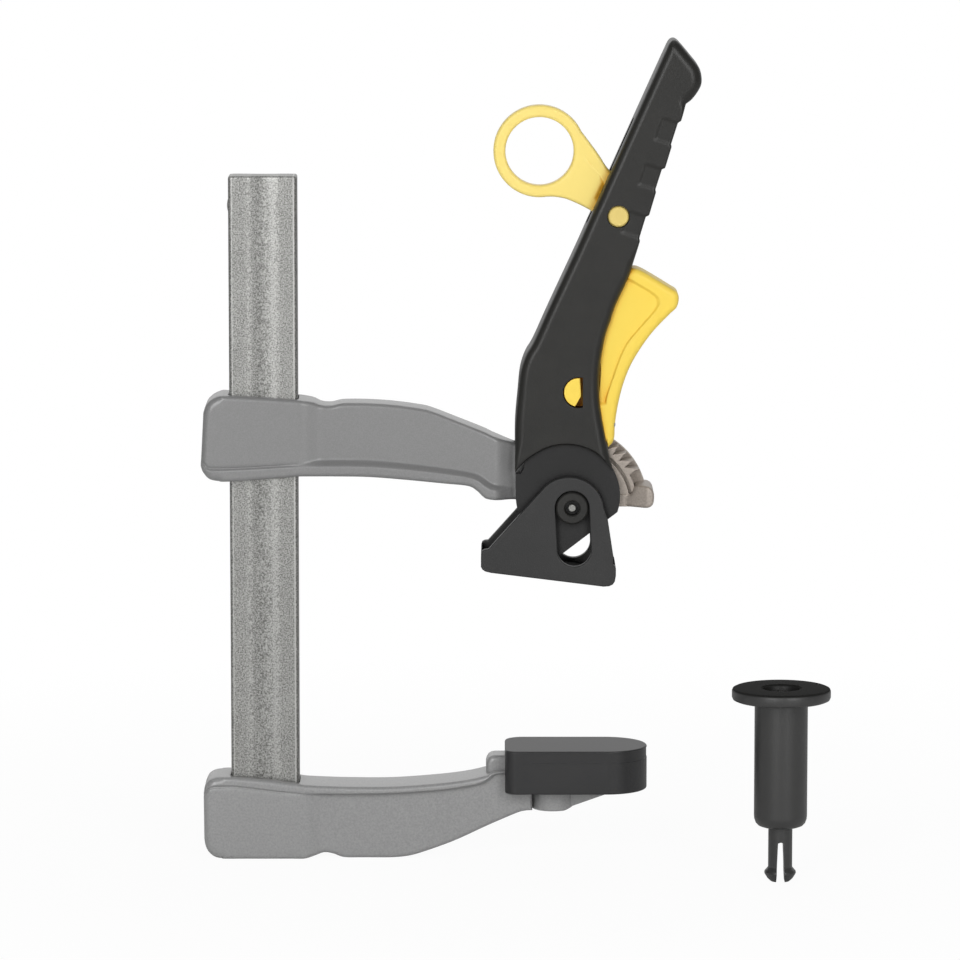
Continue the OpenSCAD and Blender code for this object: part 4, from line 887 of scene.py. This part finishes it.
parts = [twoFaced(grid + pivot, outer, np.where(z < t["forkTop"], t["fork"], 0.0)),
    plate(throughPoints(t["coreLine"]) + pivot, -t["core"], t["core"], 0.3),
    plate(trunnionLoop + w["centre"] + pivot, -t["trunnionHalf"], t["trunnionHalf"], 0.25, steps=2)]
makePiece("triggerBody", parts, yellowAcetal, "trigger", replaces=("release_trigger",))
# the pawl's pin ends inside the fork's walls
pawlPin = {"angle": 64, "away": 26.7, "radius": 1.0, "half": 5.2, "edge": 0.2}
q = pawlPin
pinAt = atAngle(q["angle"], q["away"])
makePiece("pawlPin", turned(bothEnds(pinEnd(q)), (pinAt[0], 0, pinAt[1]), count=32), turnedSteel, "trigger",
    replaces=("pawl_pin",))
# the steel tooth in the fork: (angle, distance from the pivot)
pawl = {"corners": [(59.79, 22.55), (68.5, 23.5), (72.0, 26.3), (70.0, 28.0), (64.0, 28.0), (61.0, 24.9)],
    "front": -3.9, "back": 2.35, "edge": 0.15}
q = pawl
makePiece("pawlTooth", plate([atAngle(*corner) for corner in q["corners"]], q["front"], q["back"], q["edge"]),
    turnedSteel, "trigger", replaces=("pawl",))
print("trigger made")

# finger ring: a band with a flat neck, in mm from the pivot; a pocket where the neck enters its slot
ring = {"centre": (-9.6, 103.9), "outer": 13.45, "hole": 9.95, "half": 2.8, "edge": 1.1,
    "seat": (11.7, 13.4), "stations": 110, "arcStations": 62,
    "upper": [(-2.2, 115.15), (1.3, 111.2), (4.5, 107.1), (7.7, 102.7), (10.4, 98.6), (13.3, 96.2),
        (15.5, 92.6), (17.3, 89.0)],
    "lower": [(-9.6, 90.45), (-5.9, 90.6), (-2.3, 90.1), (0.8, 88.9), (3.5, 87.6), (6.0, 86.1),
        (9.7, 83.4), (13.0, 81.2)],
    "pocket": [(3.2, 103.6), (3.2, 101.7), (7.6, 96.9), (8.1, 94.7), (5.9, 90.1), (7.4, 88.4),
        (10.5, 91.5), (11.0, 93.8), (8.9, 96.4)],
    "pocketDeep": 0.85, "pocketSlope": 1.9, "sunk": 0.004}
r = ring
lines = [evenSteps(throughPoints(r[k]), r["stations"]) for k in ("upper", "lower")]
grid, _ = edgedGrid(lines, (2.4, 0.3), (2.4, 0.3), (9, 60, 9))
# the neck's left end lies on the ring's band instead of crossing the hole: the arc's radius runs from seat
# to seatEnd with the 8th power of the distance from the neck's middle
seat, seatEnd = r["seat"]
grid = drawnToArc(grid, r["centre"], lambda q: seat + (seatEnd - seat) * np.abs(2 * q - 1) ** 8,
    r["arcStations"])
dip = np.where(inside(grid, r["pocket"]), 1.0, -1.0) * wayTo(grid, np.array(r["pocket"] + r["pocket"][:1]))
outer = r["half"] - r["pocketDeep"] * smoothStep(dip, 0, r["pocketSlope"])
for line in lines:
    outer = outer - roundDrop(wayTo(grid, line), r["edge"])
parts = [twoFaced(grid + pivot, outer - r["sunk"]),
    plate(circle(pivot + r["centre"], r["outer"], 128), -r["half"], r["half"], r["edge"],
        holes=[circle(pivot + r["centre"], r["hole"], 128)], steps=6, holeEdge=r["edge"])]
makePiece("pullRing", parts, thinAcetal, "ring", replaces=("finger_ring",))
print("ring made")

# shoe, bushes and pivot pin
shoe = {"outer": 10.4, "thick": 3.0, "edge": 0.45, "slotWidth": 9.94, "slotLength": 12.4, "slotTilt": 3.0,
    "length": 38.6, "top": (-0.9, -1.1), "topRadius": 10.2, "floorHalf": 7.6,
    "floorTop": [(12.1, -19.9), (-26.0, -15.4)]}
o = shoe
low = np.array([(-0.635, -0.316), (-0.663, -0.319), (-0.681, -0.329), (-0.688, -0.352), (-0.6917, -0.451),
        (-0.681, -0.4715), (-0.658, -0.487), (-0.614, -0.4977), (0.24, -0.6034), (0.282, -0.6),
        (0.31, -0.587), (0.326, -0.562), (0.3334, -0.518), (0.3334, -0.466), (0.3264, -0.4456),
        (0.3135, -0.4378), (0.3135, -0.368), (0.272, -0.096)]) * o["length"]
shoeLoop = np.vstack([circle(o["top"], o["topRadius"], 40, math.radians(7), math.radians(139.8)), low])
a = math.radians(o["slotTilt"])
slotLoop = np.vstack([circle((0, 0), o["slotWidth"] / 2, 28, a, math.pi + a),
        circle((math.sin(a) * o["slotLength"], -math.cos(a) * o["slotLength"]),
        o["slotWidth"] / 2, 28, math.pi + a, 2 * math.pi + a)])
sides = [plate(shoeLoop + pivot, y, y + o["thick"], o["edge"], holes=[slotLoop + pivot])
    for y in (-o["outer"], o["outer"] - o["thick"])]
makePiece("shoeBody", sides, greyCoat, "foot", replaces=("pressure_foot",))
# the floor between the side plates: their lower edge closed by a sloping top; its near-black colour is
# painted shade
makePiece("shoeFloor", plate(np.vstack([low[2:15], o["floorTop"]]) + pivot, -o["floorHalf"], o["floorHalf"]),
    mattPaintedShadeFloor, "foot")
# (radius, depth) pairs: a bush with a rounded rim round a sunk face, and the pin whose end it shows
bushProfile = [(1.15, -7.9), (2.1, -7.9), (2.2, -10.25), (2.5, -10.55), (4.3, -10.55), (4.8, -10.05),
    (4.8, -7.3), (1.15, -7.3)]
pinHalf = [(axisGap, -9.95), (0.98, -9.95), (1.12, -9.8), (1.12, -7.25), (3.0, -7.15)]
centre = (pivot[0], 0, pivot[1])
for name, side, nodeName in (("bushFront", 1, "foot_bush_front"), ("bushBack", -1, "foot_bush_back")):
    profile = [(a, b * side) for a, b in bushProfile]
    makePiece(name, turned(profile, centre, closed=True), blackNylon, "bushes",
        replaces=(nodeName,))
makePiece("pivotPin", turned(bothEnds(pinHalf), centre), turnedSteel, "arm",
    replaces=("pivot_pin",))
print("shoe and pivot made")

# jaw pad
pad = {"left": 70.8, "length": 42.0, "width": 24.7, "low": 20.2, "top": 33.1, "corner": 3.46, "edge": 0.45,
    "bandStart": 5.3, "bandLow": 29.5, "bandTop": 32.6, "bandDeep": 0.16, "backCorner": 5.4}
p = pad
half = p["width"] / 2
centreX = p["left"] + p["length"] - half
front, back = p["corner"], p["backCorner"]
padLoop = np.vstack([circle((centreX, 0), half, 60, -math.pi / 2, math.pi / 2),
        circle((p["left"] + back, half - back), back, 10, math.pi / 2, math.pi),
        circle((p["left"] + front, front - half), front, 8, math.pi, 1.5 * math.pi)])
padPiece = makePiece("padCap", plate(padLoop, p["low"], p["top"], p["edge"], across="z"), darkRubber,
    "frame", replaces=("jaw_pad",))


def bandPath(grow):
    # the line round the pad's end on which the shallow band is cut, moved outwards by grow
    q, startX = half + grow, p["left"] + p["bandStart"]
    return np.vstack([[(startX, -q)], circle((centreX, 0), q, 60, -math.pi / 2, math.pi / 2), [(startX, q)]])


cutBy(padPiece, [plate(np.vstack([bandPath(1.0), bandPath(-p["bandDeep"])[::-1]]), p["bandLow"], p["bandTop"],
        0.14, across="z", steps=2)])
print("pad made")

# mounting peg
peg = {"x": 150.5, "y": -38.0, "low": 16.2, "top": 53.2, "headTop": 56.8,
    # (radius, height) pairs over the sleeve's lower end, round its upper end and the head, and down into
    # the socket
    "foot": [(0.02, 0), (5.6, 0), (6.5, 0.35), (7.2, 1.1), (7.6, 2.2), (7.7, 3.2)],
    "neck": [(7.7, -0.9), (7.85, -0.45), (8.3, -0.1), (9.3, 0), (13.3, 0), (14.0, 0.3), (14.3, 1.0)],
    "head": [(14.3, -0.8), (14.05, -0.25), (13.5, 0), (6.0, 0), (5.6, -0.4), (5.6, -17.6), (0.02, -17.6)],
    "ribReach": 5.8, "ribHalf": 0.5, "ribLow": 39.3, "ribTop": 55.2}
g = peg
bodyProfile = []
for part, base in (("foot", "low"), ("neck", "top"), ("head", "headTop")):
    bodyProfile += [(radius, height + g[base]) for radius, height in g[part]]
pegParts = [turned(bodyProfile, (g["x"], g["y"], 0), "z", count=96)]
# three ribs in the socket
for k in range(3):
    a = math.radians(90 + 120 * k)
    out = np.array([math.cos(a), math.sin(a)]) * g["ribReach"]
    side = np.array([-math.sin(a), math.cos(a)]) * g["ribHalf"]
    pegParts.append(plate(np.array([-side, out - side, out + side, side]) + (g["x"], g["y"]), g["ribLow"],
            g["ribTop"], 0.12, across="z", steps=2))


def prong(side):
    # half a round rod beside the slit, its section carried down with a growing slit and a flared end; at
    # each height it spans the angle whose cosine is slit / radius to either side
    z = np.r_[np.linspace(16.4, 12, 6), np.linspace(11.6, 4.6, 8), 4.2, 3.9, 3.5, 3.0, 2.5, 2.1, 1.5, 0.9,
        0.35, 0.0]
    radius = np.interp(z, [0, 0.35, 0.9, 2.1, 2.5, 3.0, 3.5, 4.2, 16.3],
        [2.7, 3.1, 3.7, 4.45, 4.6, 4.5, 4.05, 3.5, 3.5])
    slit = np.interp(z, [0, 3, 11.6, 11.8, 16.5], [1.25, 1.15, 0.8, -0.3, -0.3])
    a = np.linspace(-1, 1, 25)[None] * np.arccos(np.clip(slit / radius, -1, 1))[:, None]
    ring = np.stack([side * radius[:, None] * np.cos(a), radius[:, None] * np.sin(a),
            np.broadcast_to(z[:, None], a.shape)], -1)
    count, last = a.shape[1], (len(z) - 1) * a.shape[1]
    faces = ringFaces(len(z), count) + [list(range(count)), list(range(last, last + count))]
    return ring.reshape(-1, 3) + (g["x"], g["y"], 0), faces


pegParts += [prong(1), prong(-1)]
makePiece("pegBody", pegParts, pegNylon, "loose_peg", replaces=("peg",))
print("peg made")

# cam plates, kept as they come
for nodeName in ("cam_plate_front", "cam_plate_back"):
    node = frame["nodes"][nodeName]
    joinUp = node.modifiers.new("joinUp", "WELD")
    joinUp.merge_threshold = 0.00001
    soft = node.modifiers.new("soft", "BEVEL")
    soft.width, soft.segments, soft.limit_method = 0.35 * mm, 3, "ANGLE"
    soft.angle_limit = math.radians(40)
    soft.harden_normals = True

# size: the bounds of everything shown
low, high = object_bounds()
